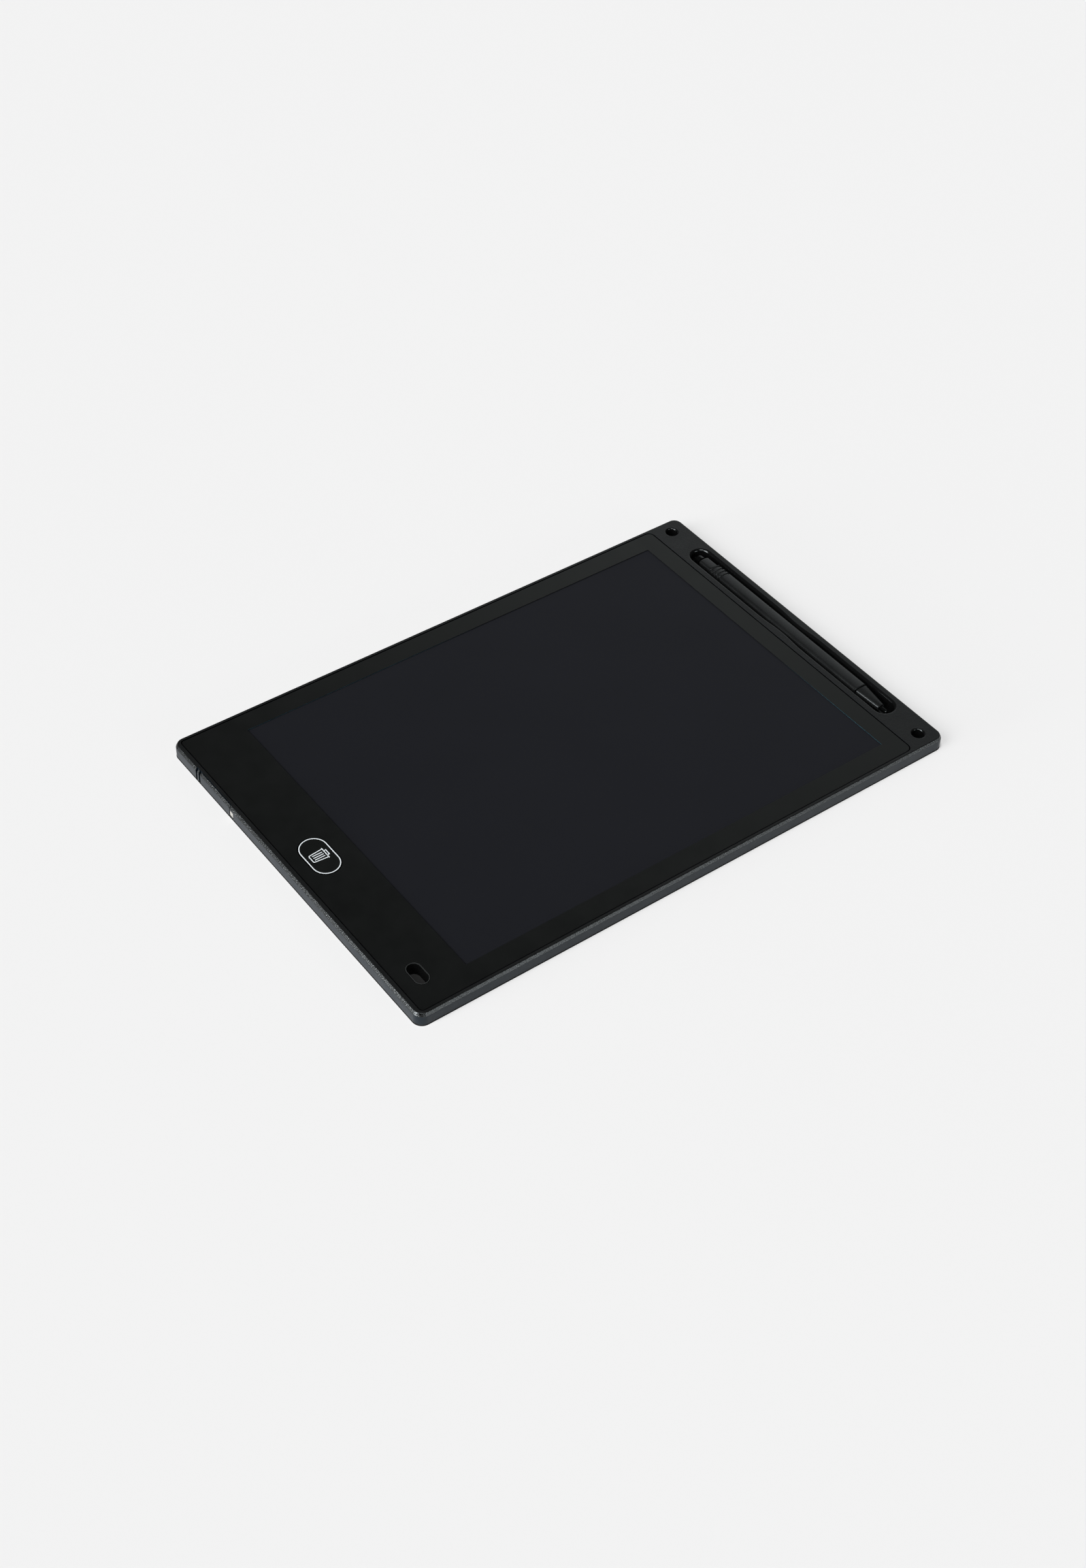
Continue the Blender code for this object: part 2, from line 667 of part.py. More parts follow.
def add_bosses(housing):
    """The lanyard tube with its collar, and the posts that the circuit board is screwed to."""
    deck_core = DECK_LOW + JOIN_SINK
    tube = plate("lanyard_tube", [lanyard_outline(LANYARD_WALL)], 0.0, deck_core)
    collar = plate("lanyard_collar", [lanyard_outline(LANYARD_COLLAR)], deck_core, BODY_THICKNESS)
    posts = [
        plate(f"board_post_{i}", [circle(x, y, BOSS_RADIUS)], SEAT_Z, deck_core)
        for i, (x, y) in enumerate(screw_places(), 1)
    ]
    join(housing, tube, collar, *posts)
    bores = [
        plate(f"screw_bore_{i}", [circle(x, y, SCREW_RADIUS + LAYER_GAP)], SEAT_Z - CUT_OVERRUN,
              SCREW_TIP + LAYER_GAP)
        for i, (x, y) in enumerate(screw_places(), 1)
    ]
    hole = plate("lanyard_cutter", [lanyard_outline(0.0)], *THROUGH)
    cut(housing, hole, *bores)

    def on_hole(z, grow):
        reach_x = LANYARD_LENGTH / 2 + grow + WELD_DISTANCE
        reach_y = LANYARD_WIDTH / 2 + grow + WELD_DISTANCE
        return lambda p: at_height(z)(p) and abs(p.x - LANYARD_X) < reach_x and abs(p.y - LANYARD_Y) < reach_y

    round_edges(housing, on_hole(0.0, 0.0), LANYARD_FLARE, ROUND_STEPS)
    round_edges(housing, on_hole(BODY_THICKNESS, LANYARD_COLLAR), COLLAR_EDGE, EDGE_STEPS)


def cut_drawer_bay(housing):
    """The drawer's opening in the lower side, its bay under the deck, and the room for its contacts."""
    bay = (BAY_LEFT, BAY_RIGHT)
    outside = BOTTOM - CUT_OVERRUN
    beside = BAY_RIGHT - CUT_OVERRUN
    blade_room = (outside, CAVITY_LOW + FIT_GAP)
    tongue_room = around(CELL_Y, CONTACT_WIDTH + 2 * FIT_GAP)
    foot_end = BOARD_LEFT + CONTACT_FOOT + FIT_GAP
    cut(
        housing,
        block("cap_cutter", bay, (outside, CAP_BACK + FIT_GAP), THROUGH),
        block("bay_cutter", bay, (CAP_BACK, TRAY_END + FIT_GAP), (COVER_THICKNESS, BAY_TOP)),
        block("blade_cutter", (beside, BOARD_LEFT), blade_room, (COVER_THICKNESS, TONGUE_LOW)),
        block("tongue_cutter", (beside, foot_end), tongue_room, (DECK_LOW - CUT_OVERRUN, BAY_TOP)),
    )


def cut_deck(housing):
    """The key's way through the deck, the flex tail's slot and the pockets for the rear cover's hooks."""
    flex_width = around(BOARD_LEFT + FLEX_PLACE, FLEX_WIDTH + 2 * FIT_GAP)
    flex_depth = around(FLEX_RISER, FLEX_THICKNESS + 2 * FIT_GAP)
    tools = [
        plate("key_cutter", [key_outline(FIT_GAP)], *THROUGH_DECK),
        block("flex_cutter", flex_width, flex_depth, THROUGH_DECK),
    ]
    wall = RIGHT - CAVITY_INSET
    pocket_low = HOOK_TOP - HOOK_NOSE_HEIGHT - FIT_GAP
    pocket_high = HOOK_TOP + FIT_GAP
    for i, y in enumerate(hook_places(), 1):
        for side, name in ((-1, "left"), (1, "right")):
            depth = sorted((side * (wall - CUT_OVERRUN), side * (wall + HOOK_NOSE)))
            width = around(y, HOOK_WIDTH + 2 * FIT_GAP)
            tools.append(block(f"{name}_hook_pocket_{i}", depth, width, (pocket_low, pocket_high)))
    cut(housing, *tools)


def make_housing():
    housing = body_blank("front_housing")
    carve_top_bar(housing)
    hollow_housing(housing)
    add_bosses(housing)
    cut_drawer_bay(housing)
    cut_deck(housing)
    return paint(housing, CASE_BLACK)


def make_rear_cover():
    """A flat cover with stiffening ribs, held by hooks along its long sides."""
    outline = body_outline(MOUTH_INSET + FIT_GAP, COVER_RADIUS, COVER_RADIUS, PANEL_TOP - FIT_GAP)
    cover = plate("rear_cover", [outline], 0.0, COVER_THICKNESS)
    sunk = COVER_THICKNESS - JOIN_SINK
    rib_top = DECK_LOW - FIT_GAP
    rib_ends = (TRAY_END + RIB_MARGIN, PANEL_TOP - LEDGE_WIDTH - RIB_MARGIN)
    half = RIB_SPACING / 2
    tools = [
        block("left_rib", around(-half, RIB_THICKNESS), rib_ends, (sunk, rib_top)),
        block("right_rib", around(half, RIB_THICKNESS), rib_ends, (sunk, rib_top)),
        block("upper_rib", (-half, half), around(half, RIB_THICKNESS), (sunk, rib_top)),
        block("lower_rib", (-half, half), around(-half, RIB_THICKNESS), (sunk, rib_top)),
    ]
    face = RIGHT - CAVITY_INSET - FIT_GAP
    for i, y in enumerate(hook_places(), 1):
        for side, name in ((-1, "left"), (1, "right")):
            leg = sorted((side * (face - HOOK_THICKNESS), side * face))
            nose = sorted((side * (face - HOOK_THICKNESS / 2), side * (face + HOOK_NOSE)))
            width = around(y, HOOK_WIDTH)
            tools.append(block(f"{name}_hook_leg_{i}", leg, width, (sunk, HOOK_TOP)))
            tools.append(block(f"{name}_hook_nose_{i}", nose, width, (HOOK_TOP - HOOK_NOSE_HEIGHT, HOOK_TOP)))
    join(cover, *tools)
    cut(cover, plate("tube_cutter", [lanyard_outline(LANYARD_WALL + FIT_GAP)], *THROUGH))
    return paint(cover, COVER_BLACK)


def screen_outline():
    half = SCREEN_WIDTH / 2
    return [(-half, SCREEN_LOW), (half, SCREEN_LOW), (half, SCREEN_TOP), (-half, SCREEN_TOP)]


def make_panel_sheets():
    """Border mask, LCD film, adhesive frame and backing sheet, stacked on the deck."""
    key_hole = key_outline(FIT_GAP)
    lanyard_hole = lanyard_outline(LANYARD_COLLAR + FIT_GAP)
    collar_hole = lanyard_outline(LANYARD_COLLAR + LAYER_GAP)
    mask_loops = [panel_outline(SHEET_GAP), screen_outline(), key_hole, collar_hole]
    paint(plate("border_mask", mask_loops, MASK_LOW, MASK_TOP), MASK_BLACK)
    lcd_loops = [panel_outline(SHEET_GAP), key_hole, lanyard_hole]
    paint(plate("lcd_film", lcd_loops, LCD_LOW, LCD_LOW + LCD_THICKNESS), LCD_DARK)

    inset = RIM_LOW + SHEET_GAP + TAPE_INSET
    high = PANEL_TOP - SHEET_GAP - TAPE_INSET
    inner_inset = inset + TAPE_WIDTH
    inner_high = high - TAPE_WIDTH
    tape_loops = [
        body_outline(inset, COVER_RADIUS, COVER_RADIUS, high),
        body_outline(inner_inset, COVER_RADIUS, COVER_RADIUS, inner_high),
    ]
    tape = plate("adhesive_frame", tape_loops, TAPE_LOW, TAPE_TOP)
    cut(
        tape,
        plate("tape_key_cutter", [key_hole], *THROUGH),
        plate("tape_lanyard_cutter", [lanyard_hole], *THROUGH),
    )
    paint(tape, TAPE_WHITE)

    side = RIGHT - inner_inset - FIT_GAP
    radius = COVER_RADIUS - FIT_GAP
    backing_loop = rounded_rectangle(-side, side, BACKING_LOW, inner_high - FIT_GAP, radius, radius)
    paint(plate("backing_sheet", [backing_loop], TAPE_LOW, TAPE_TOP), PAPER_BLACK)


def make_key():
    """The erase key: a hollow cap with a retaining flange under the deck and a nub over the switch."""
    key = plate("erase_key", [key_outline(0.0)], FLANGE_LOW, MASK_TOP)
    round_edges(key, at_height(MASK_TOP), KEY_EDGE, EDGE_STEPS)
    join(key, plate("key_flange", [key_outline(KEY_LUG)], FLANGE_LOW, FLANGE_TOP))
    cut(key, plate("key_hollow", [key_outline(-KEY_WALL)], FLANGE_LOW - CUT_OVERRUN, KEY_CEILING))
    nub_low = PLUNGER_TOP + LAYER_GAP
    join(key, plate("key_nub", [circle(KEY_X, KEY_Y, NUB_RADIUS)], nub_low, KEY_CEILING + JOIN_SINK))
    return paint(key, KEY_BLACK)


def make_switch():
    """A low push switch: an open body, its cover plate and the plunger that the key presses."""
    body = block("switch_body", around(KEY_X, SWITCH_SIDE), around(KEY_Y, SWITCH_SIDE), (SEAT_Z, SWITCH_TOP))
    room = PLUNGER_RADIUS + FIT_GAP
    cut(body, plate("switch_pocket", [circle(KEY_X, KEY_Y, room)], SWITCH_POCKET, SWITCH_TOP + CUT_OVERRUN))
    paint(body, CHIP_BLACK)
    left, right = around(KEY_X, SWITCH_SIDE)
    low, high = around(KEY_Y, SWITCH_SIDE)
    square = [(left, low), (right, low), (right, high), (left, high)]
    cover_top = SWITCH_COVER_LOW + SWITCH_COVER
    cover = plate("switch_cover", [square, circle(KEY_X, KEY_Y, room)], SWITCH_COVER_LOW, cover_top)
    paint(cover, CONTACT_METAL)
    plunger = plate("switch_plunger", [circle(KEY_X, KEY_Y, PLUNGER_RADIUS)], PLUNGER_LOW, PLUNGER_TOP)
    return paint(plunger, PART_TAN)


def make_board():
    """The circuit board, the parts soldered to it and the screws that hold it."""
    lower = [(BOARD_LEFT, BOARD_LOW), (BOARD_RIGHT, BOARD_LOW)]
    upper = [(BOARD_RIGHT, BOARD_HIGH), (BOARD_LEFT, BOARD_HIGH)]
    holes = [circle(x, y, SCREW_RADIUS + FIT_GAP) for x, y in screw_places()]
    paint(plate("circuit_board", [lower + upper, *holes], BOARD_Z, BOARD_TOP), BOARD_GREEN)
    placed = [
        ("driver_chip", CHIP_SIZE, CHIP_PLACE, CHIP_BLACK),
        ("boost_coil", COIL_SIZE, COIL_PLACE, CHIP_BLACK),
    ]
    for i, place in enumerate(CAPACITOR_PLACES, 1):
        placed.append((f"capacitor_{i}", CAPACITOR_SIZE, place, PART_TAN))
    for i, place in enumerate(RESISTOR_PLACES, 1):
        placed.append((f"resistor_{i}", RESISTOR_SIZE, place, CHIP_BLACK))
    for name, (length, width, height), (x, y), finish in placed:
        x_span = around(BOARD_LEFT + x, length)
        y_span = around(BOARD_LOW + y, width)
        paint(block(name, x_span, y_span, (SEAT_Z, SEAT_Z + height)), finish)
    head_top = BOARD_Z - LAYER_GAP
    for i, (x, y) in enumerate(screw_places(), 1):
        profile = [
            (0.0, SCREW_TIP),
            (SCREW_RADIUS, SCREW_TIP - SCREW_RADIUS),
            (SCREW_RADIUS, head_top),
            (SCREW_HEAD_RADIUS, head_top),
            (SCREW_HEAD_RADIUS, head_top - SCREW_HEAD),
            (0.0, head_top - SCREW_HEAD),
        ]
        paint(turned(f"board_screw_{i}", profile, Matrix.Translation((x, y, 0.0))), SCREW_METAL)


def make_flex_tail():
    """The ribbon that feeds the LCD film: from the board, up through the deck, to under the film."""
    run_z = TAPE_LOW + FLEX_THICKNESS / 2
    foot_z = SEAT_Z + FLEX_THICKNESS / 2
    path = [(BOARD_HIGH - FLEX_FOOT, foot_z), (FLEX_RISER, foot_z), (FLEX_RISER, run_z), (FLEX_END, run_z)]
    turn = Matrix.Rotation(math.pi / 2, 4, "Z") @ Matrix.Rotation(math.pi / 2, 4, "X")
    matrix = Matrix.Translation((BOARD_LEFT + FLEX_PLACE, 0.0, 0.0)) @ turn
    paint(strip("flex_tail", path, FLEX_WIDTH, FLEX_THICKNESS, matrix), FLEX_AMBER)


def make_contacts():
    """The tongue over the coin cell and the blade that bears on its rim, both from the board."""
    tongue_z = TONGUE_LOW + CONTACT_THICKNESS / 2
    foot_z = SEAT_Z + CONTACT_THICKNESS / 2
    riser = BOARD_LEFT + FIT_GAP
    path = [(BOARD_LEFT + CONTACT_FOOT, foot_z), (riser, foot_z), (riser, tongue_z), (CELL_X, tongue_z)]
    matrix = Matrix.Translation((0.0, CELL_Y, 0.0)) @ Matrix.Rotation(math.pi / 2, 4, "X")
    paint(strip("face_contact", path, CONTACT_WIDTH, CONTACT_THICKNESS, matrix), CONTACT_METAL)

    low = TRAY_LOW
    high = CELL_TOP - LAYER_GAP
    edge = BOARD_LEFT - LAYER_GAP - CONTACT_THICKNESS
    front = BOTTOM + BLADE_SETBACK
    tip = CELL_X + CELL_RADIUS + LAYER_GAP + CONTACT_THICKNESS / 2
    path = [
        (BAY_RIGHT + LAYER_GAP, front),
        (edge, front),
        (edge, CELL_Y - BLADE_REACH),
        (tip, CELL_Y),
        (edge, CELL_Y + BLADE_REACH),
    ]
    matrix = Matrix.Translation((0.0, 0.0, (low + high) / 2))
    paint(strip("rim_contact", path, high - low, CONTACT_THICKNESS, matrix), CONTACT_METAL)


def make_drawer():
    """The coin cell drawer: a front cap that continues the side, a tray, and a slit latch arm."""
    drawer = body_blank("battery_drawer")
    width = (TRAY_LEFT, TRAY_RIGHT)
    outside = BOTTOM - CUT_OVERRUN
    combine(drawer, "INTERSECT", [block("cap_limits", width, (outside, CAP_BACK), THROUGH)])
    tray_depth = (CAP_BACK - JOIN_SINK, TRAY_END)
    join(drawer, block("tray", width, tray_depth, (TRAY_LOW, CELL_TOP - TRAY_SINK)))
    above_floor = (TRAY_LOW + TRAY_FLOOR, BODY_THICKNESS + CUT_OVERRUN)
    relief = around(CELL_Y, TRAY_RELIEF)
    slit_left = TRAY_LEFT + DRAWER_ARM
    blade_room = (CELL_X + CELL_RADIUS - FIT_GAP, TRAY_RIGHT + CUT_OVERRUN)
    cut(
        drawer,
        plate("cell_pocket", [circle(CELL_X, CELL_Y, CELL_RADIUS + CELL_PLAY)], *above_floor),
        block("left_relief", (TRAY_LEFT - CUT_OVERRUN, CELL_X), relief, above_floor),
        block("right_relief", blade_room, (relief[0], TRAY_END + CUT_OVERRUN), THROUGH),
        block("arm_slit", (slit_left, slit_left + DRAWER_SLIT), (outside, BOTTOM + ARM_SLIT_DEPTH), THROUGH),
    )
    return paint(drawer, CASE_BLACK)


def make_cell():
    """A coin cell: a can with a stepped negative cap on top."""
    cap_radius = CELL_RADIUS - CELL_CAP_STEP
    profile = [
        (0.0, CELL_TOP),
        (cap_radius, CELL_TOP),
        (cap_radius, CELL_TOP - CELL_CAP_RISE),
        (CELL_RADIUS, CELL_TOP - CELL_CAP_RISE),
        (CELL_RADIUS, CELL_LOW),
        (0.0, CELL_LOW),
    ]
    return paint(turned("coin_cell", profile, Matrix.Translation((CELL_X, CELL_Y, 0.0))), CELL_METAL)


def barrel_profile():
    """The barrel's wall: outside from tip to tail with its grip grooves, then back along the bore."""
    outside = [(PEN_RADIUS - PEN_EDGE, BARREL_END), (PEN_RADIUS, BARREL_END - PEN_EDGE)]
    half = GROOVE_WIDTH / 2
    first = BARREL_START + 2 * PEN_EDGE + half
    for i in reversed(range(GROOVE_COUNT)):
        middle = first + i * (GROOVE_WIDTH + RIDGE_WIDTH)
        outside += [
            (PEN_RADIUS, middle + half),
            (PEN_RADIUS - GROOVE_DEPTH, middle + half / 2),
            (PEN_RADIUS - GROOVE_DEPTH, middle - half / 2),
            (PEN_RADIUS, middle - half),
        ]
    outside += [(PEN_RADIUS, BARREL_START + PEN_EDGE), (PEN_RADIUS - PEN_EDGE, BARREL_START)]
    return outside + [(BARREL_BORE, BARREL_START), (BARREL_BORE, BARREL_END)]


def make_stylus():
    """Barrel, tail cap with its oval plug, nose cone and round nib, each let into the next."""
    matrix = Matrix.Translation((0.0, SLOT_Y, PEN_Z)) @ Matrix.Rotation(math.pi / 2, 4, "Y")
    barrel = turned("stylus_barrel", barrel_profile(), matrix, closed=True)
    tail_end = arc(TAIL_RADIUS - TAIL_ROUND, TAIL_START + TAIL_ROUND, TAIL_ROUND, 0, -1, ROUND_STEPS)
    tail = turned(
        "stylus_tail_cap",
        [
            (PIN_BORE, TAIL_END + SPIGOT_LENGTH),
            (SPIGOT_RADIUS, TAIL_END + SPIGOT_LENGTH),
            (SPIGOT_RADIUS, TAIL_END),
            (TAIL_RADIUS, TAIL_END),
            *tail_end[:-1],
            (PIN_BORE, TAIL_START),
        ],
        matrix,
        closed=True,
    )
    dome = arc(0.0, PEN_TAIL + PLUG_RADIUS, PLUG_RADIUS, 0, -1, QUARTER_STEPS)
    plug = turned(
        "stylus_tail_plug",
        [
            (0.0, PLUG_FRONT + SPIGOT_LENGTH),
            (PIN_RADIUS, PLUG_FRONT + SPIGOT_LENGTH),
            (PIN_RADIUS, PLUG_FRONT),
            (PLUG_RADIUS, PLUG_FRONT),
            *dome[:-1],
            (0.0, PEN_TAIL),
        ],
        matrix,
    )
    nose = turned(
        "stylus_nose_cone",
        [
            (NOSE_BORE, NOSE_END),
            (NOSE_TIP_RADIUS - PEN_EDGE, NOSE_END),
            (NOSE_TIP_RADIUS, NOSE_END - PEN_EDGE),
            (NOSE_RADIUS, NOSE_START + PEN_EDGE),
            (NOSE_RADIUS - PEN_EDGE, NOSE_START),
            (SPIGOT_RADIUS, NOSE_START),
            (SPIGOT_RADIUS, NOSE_START - SPIGOT_LENGTH),
            (NOSE_BORE, NOSE_START - SPIGOT_LENGTH),
        ],
        matrix,
        closed=True,
    )
    point = arc(0.0, PEN_TIP - NIB_RADIUS, NIB_RADIUS, 1, -1, QUARTER_STEPS)
    nib_back = NOSE_END + FIT_GAP
    nib = turned(
        "stylus_nib",
        [
            (0.0, PEN_TIP),
            *point[1:],
            (NIB_RADIUS, nib_back),
            (SHANK_RADIUS, nib_back),
            (SHANK_RADIUS, nib_back - NIB_SHANK),
            (0.0, nib_back - NIB_SHANK),
        ],
        matrix,
    )
    flat_topped(plug, PEN_TAIL - PLUG_RADIUS, PEN_TAIL)
    for piece in (barrel, tail, nose):
        flat_topped(piece, NOSE_START, NOSE_END)
    for piece in (barrel, tail, nose):
        paint(piece, PEN_BLACK)
    paint(plug, PLUG_BLACK)
    paint(nib, NIB_BLACK)
    return barrel, tail, plug, nose, nib


def build():
    make_housing()
    make_rear_cover()
    make_panel_sheets()
    make_board()
    make_flex_tail()
    make_contacts()
    carried("erase_key_travel", (KEY_X, KEY_Y, MASK_TOP), make_key(), make_switch())
    carried("battery_drawer_travel", (CELL_X, BOTTOM, CELL_LOW), make_drawer(), make_cell())
    carried("stylus_lift", (0.0, SLOT_Y, PEN_Z), *make_stylus())


clear_scene()
PARTS = new_collection(OBJECT_NAME)
TOOLS = new_collection("cutters")
build()
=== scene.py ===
"""Looks for the LCD writing tablet: finishes, the key's printed marks, camera, light and floor."""

import json
import math

import bmesh
import bpy
from mathutils import Matrix, Vector


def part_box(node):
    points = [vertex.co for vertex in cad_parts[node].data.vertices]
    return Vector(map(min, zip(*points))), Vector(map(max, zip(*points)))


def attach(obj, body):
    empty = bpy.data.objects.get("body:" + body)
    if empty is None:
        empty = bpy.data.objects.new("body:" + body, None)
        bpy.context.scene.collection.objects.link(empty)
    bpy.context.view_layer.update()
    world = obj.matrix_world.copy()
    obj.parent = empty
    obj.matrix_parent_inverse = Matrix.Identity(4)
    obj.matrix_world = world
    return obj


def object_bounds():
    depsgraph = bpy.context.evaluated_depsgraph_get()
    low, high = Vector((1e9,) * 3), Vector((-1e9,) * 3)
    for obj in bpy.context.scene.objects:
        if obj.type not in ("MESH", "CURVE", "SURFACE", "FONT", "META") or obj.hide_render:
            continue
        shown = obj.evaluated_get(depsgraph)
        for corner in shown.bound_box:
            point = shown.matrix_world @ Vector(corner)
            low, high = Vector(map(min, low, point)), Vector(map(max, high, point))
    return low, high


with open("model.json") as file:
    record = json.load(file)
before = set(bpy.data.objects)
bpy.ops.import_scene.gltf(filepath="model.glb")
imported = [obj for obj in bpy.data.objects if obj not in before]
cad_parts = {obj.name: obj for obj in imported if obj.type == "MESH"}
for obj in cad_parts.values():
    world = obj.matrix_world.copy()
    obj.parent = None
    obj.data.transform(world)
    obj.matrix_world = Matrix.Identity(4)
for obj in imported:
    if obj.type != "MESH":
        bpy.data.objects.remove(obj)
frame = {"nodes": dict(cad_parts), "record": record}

CAD_BOX = [list(corner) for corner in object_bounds()]
NODES = frame["nodes"]
SCENE = bpy.context.scene
MM = 0.001

# Camera, fitted to the casing's corners as the photograph shows them
CAMERA_PLACE = Vector((0.436748, -0.353841, 0.532050))
CAMERA_TARGET = Vector((0.009791, -0.015272, 0.0))
CAMERA_ROLL = math.radians(2.614)
CAMERA_LENS = 52.152
SENSOR_WIDTH = 36.0

# Floor: pale paper, and how it shows beside, under and mirrored in the part; under the part and along its
# outline it carries a painted shadow
FLOOR_SIZE = 12.0
FLOOR_CELLS = 4
FLOOR_COLOUR = (0.87, 0.87, 0.87)
FLOOR_DARKER = 0.997
FLOOR_PATCHES = 3.0
FLOOR_SPECULAR = 0.1
FLOOR_ROUGHNESS = 0.9
OUTLINE_RADIUS = 3.5 * MM
PALE_SHARE = 0.65
PALE_RIM = 1.0 * MM
MIRROR_RIM = 20.0 * MM
DIM_SHARE = 0.95
DIM_RIM = 7.0 * MM
DIM_SPAN = (-30.0 * MM, 40.0 * MM)
CONTACT_SHADOW_RIM = 0.1 * MM
CONTACT_SHADOW_TONE = 0.03
UNDER_SHADOW_RIM = 3.0 * MM
UNDER_SHADOW_TONE = 0.05

# Suns, which keep the floor even from edge to edge; angles are in degrees
SUNS = {
    "key_sun": {"azimuth": 274.0, "elevation": 33.0, "strength": 3.42, "spread": 38.0},
    "fill_sun": {"azimuth": 320.0, "elevation": 60.0, "strength": 1.27, "spread": 30.0},
    "glint_sun": {"azimuth": 262.0, "elevation": 3.0, "strength": 2.2, "spread": 14.0},
}

# The room beyond the floor: dark, with a broad soft glow on the far side and two low windows
ROOM_DARK = 0.03
ROOM_PALE = 0.88
ROOM_TINT = (0.98, 1.0, 1.0, 1.0)
GROUND_PALE = 0.6
GROUND_TOP = -0.01
GLOW_TOWARDS = {"azimuth": 133.0, "elevation": 24.0}
GLOW_RIM = math.cos(math.radians(24.0))
GLOW_HEART = math.cos(math.radians(5.0))
GLOW_PALE = 0.70
FRONT_WINDOW = {"azimuth": 260.0, "half": 20.0, "soft": 5.0, "top": 6.0, "level": 11.5}
RIGHT_WINDOW = {"azimuth": 15.5, "half": 12.0, "soft": 3.0, "top": 16.0, "level": 6.0}
WINDOW_TOP_SOFT = 0.02

# Shading of the CAD nodes: round stretches are smooth and edges stay crisp
WELD_GAP = 0.001 * MM
EDGE_ANGLE = math.radians(35.0)
FLAT_ANGLE = math.radians(0.2)
EVEN_WEIGHT = 100

# Printed marks on the key, as sizes and as places from the key's centre
PRINT_HEIGHT = 0.03 * MM
RING_LENGTH = 17.05 * MM
RING_WIDTH = 9.75 * MM
RING_LINE = 0.33 * MM
BIN_X = -0.12 * MM
BIN_LINE = 0.32 * MM
BIN_LID_WIDTH = 4.9 * MM
BIN_LID_Y = 2.25 * MM
BIN_HANDLE_WIDTH = 2.2 * MM
BIN_HANDLE_Y = 3.05 * MM
BIN_TOP_WIDTH = 4.1 * MM
BIN_TOP_Y = 2.0 * MM
BIN_FOOT_WIDTH = 3.3 * MM
BIN_FOOT_Y = -3.1 * MM
BIN_FOOT_ROUND = 0.45 * MM
BIN_SLAT_STEP = 0.9 * MM
BIN_SLAT_TOP = 1.55 * MM
BIN_SLAT_FOOT = -2.25 * MM
ARC_STEPS = 32
CORNER_STEPS = 5
MITRE_LIMIT = 0.5

# Colours; a tint is multiplied by a level of brightness
BLACK = (0.0, 0.0, 0.0, 1.0)
BLACK_TINT = (0.95, 1.0, 1.01)
CASE_GLEAM = (0.90, 0.97, 1.0, 1.0)
FILM_GLEAM = (0.92, 1.0, 0.97, 1.0)

# Moulded plastic: texture scales are in features per metre, spans are of how far a surface faces up
PLASTIC_PATCHES = 45.0
PLASTIC_TONES = (0.85, 1.2)
PLASTIC_MARKS = 160.0
PLASTIC_WANDER = (-0.05, 0.06)
SIDE_GRAIN = 0.25
SIDE_GRAIN_SPAN = (0.1, 0.4)

# The casing's outer edges, sides, inner walls and lanyard collar, with a painted bluish sheen on the sides,
# painted shade on the inner walls and a painted highlight on the collar
MASK_SOFT = 0.1 * MM
EDGE_WIDTH = 1.2 * MM
EDGE_SLANT = 0.5
EDGE_SLANT_SPAN = (0.2, 0.3)
EDGE_SPECULAR = 0.60
EDGE_ROUGHNESS = 0.18
EDGE_GRAIN = 0.13 * MM
SIDE_SPAN = (0.15, 0.3)
SIDE_SPECULAR = 0.22
SIDE_SHEEN_TONE = (0.005, 0.0085, 0.0125, 1.0)
POLISH_INSET = 1.2 * MM
POLISH_DEPTH = 0.1 * MM
POLISH_ROUGHNESS = 0.12
INNER_SHADE_LEVEL = 0.003
COLLAR_LENGTH = 8.8 * MM
COLLAR_WIDTH = 4.6 * MM
COLLAR_RIM = 0.35 * MM
COLLAR_SOFT = 0.05 * MM
COLLAR_DEPTH = 0.25 * MM
COLLAR_HIGHLIGHT_LEVEL = 0.022

# Border film, with dust and a painted greenish sheen on its cut edge along part of the window
FILM_LEVEL = 0.0018
FILM_PATCHES = 60.0
FILM_TONES = (0.9, 1.1)
FILM_ROUGHNESS = 0.33
FILM_SPECULAR = 0.5
FILM_MARKS = 120.0
FILM_WANDER = (-0.03, 0.04)
PEEL_SCALE = 900.0
PEEL_DEPTH = 0.004 * MM
DUST_SCALE = 150.0
DUST_SPAN = (0.008, 0.014)
DUST_COLOUR = (0.05, 0.05, 0.05, 1.0)
EDGE_SHEEN_COLOUR = (0.011, 0.034, 0.045, 1.0)
CUT_REACH = 0.15 * MM
CUT_UPWARD_SPAN = (0.3, 0.5)
CUT_STRETCH = (-77.0 * MM, -42.0 * MM)
WINDOW_WIDTH_SHARE = 0.95
WINDOW_LENGTH_SHARE = 0.97

# Writing film
SCREEN_COLOUR = (0.0106, 0.0112, 0.0140)
SCREEN_PATCHES = 30.0
SCREEN_TONES = (0.97, 1.03)
SCREEN_ROUGHNESS = 0.42
SCREEN_SPECULAR = 0.08
SCREEN_MARKS = 90.0
SCREEN_WANDER = (-0.02, 0.03)
WEAVE_SCALE = 2200.0
WEAVE_DEPTH = 0.002 * MM

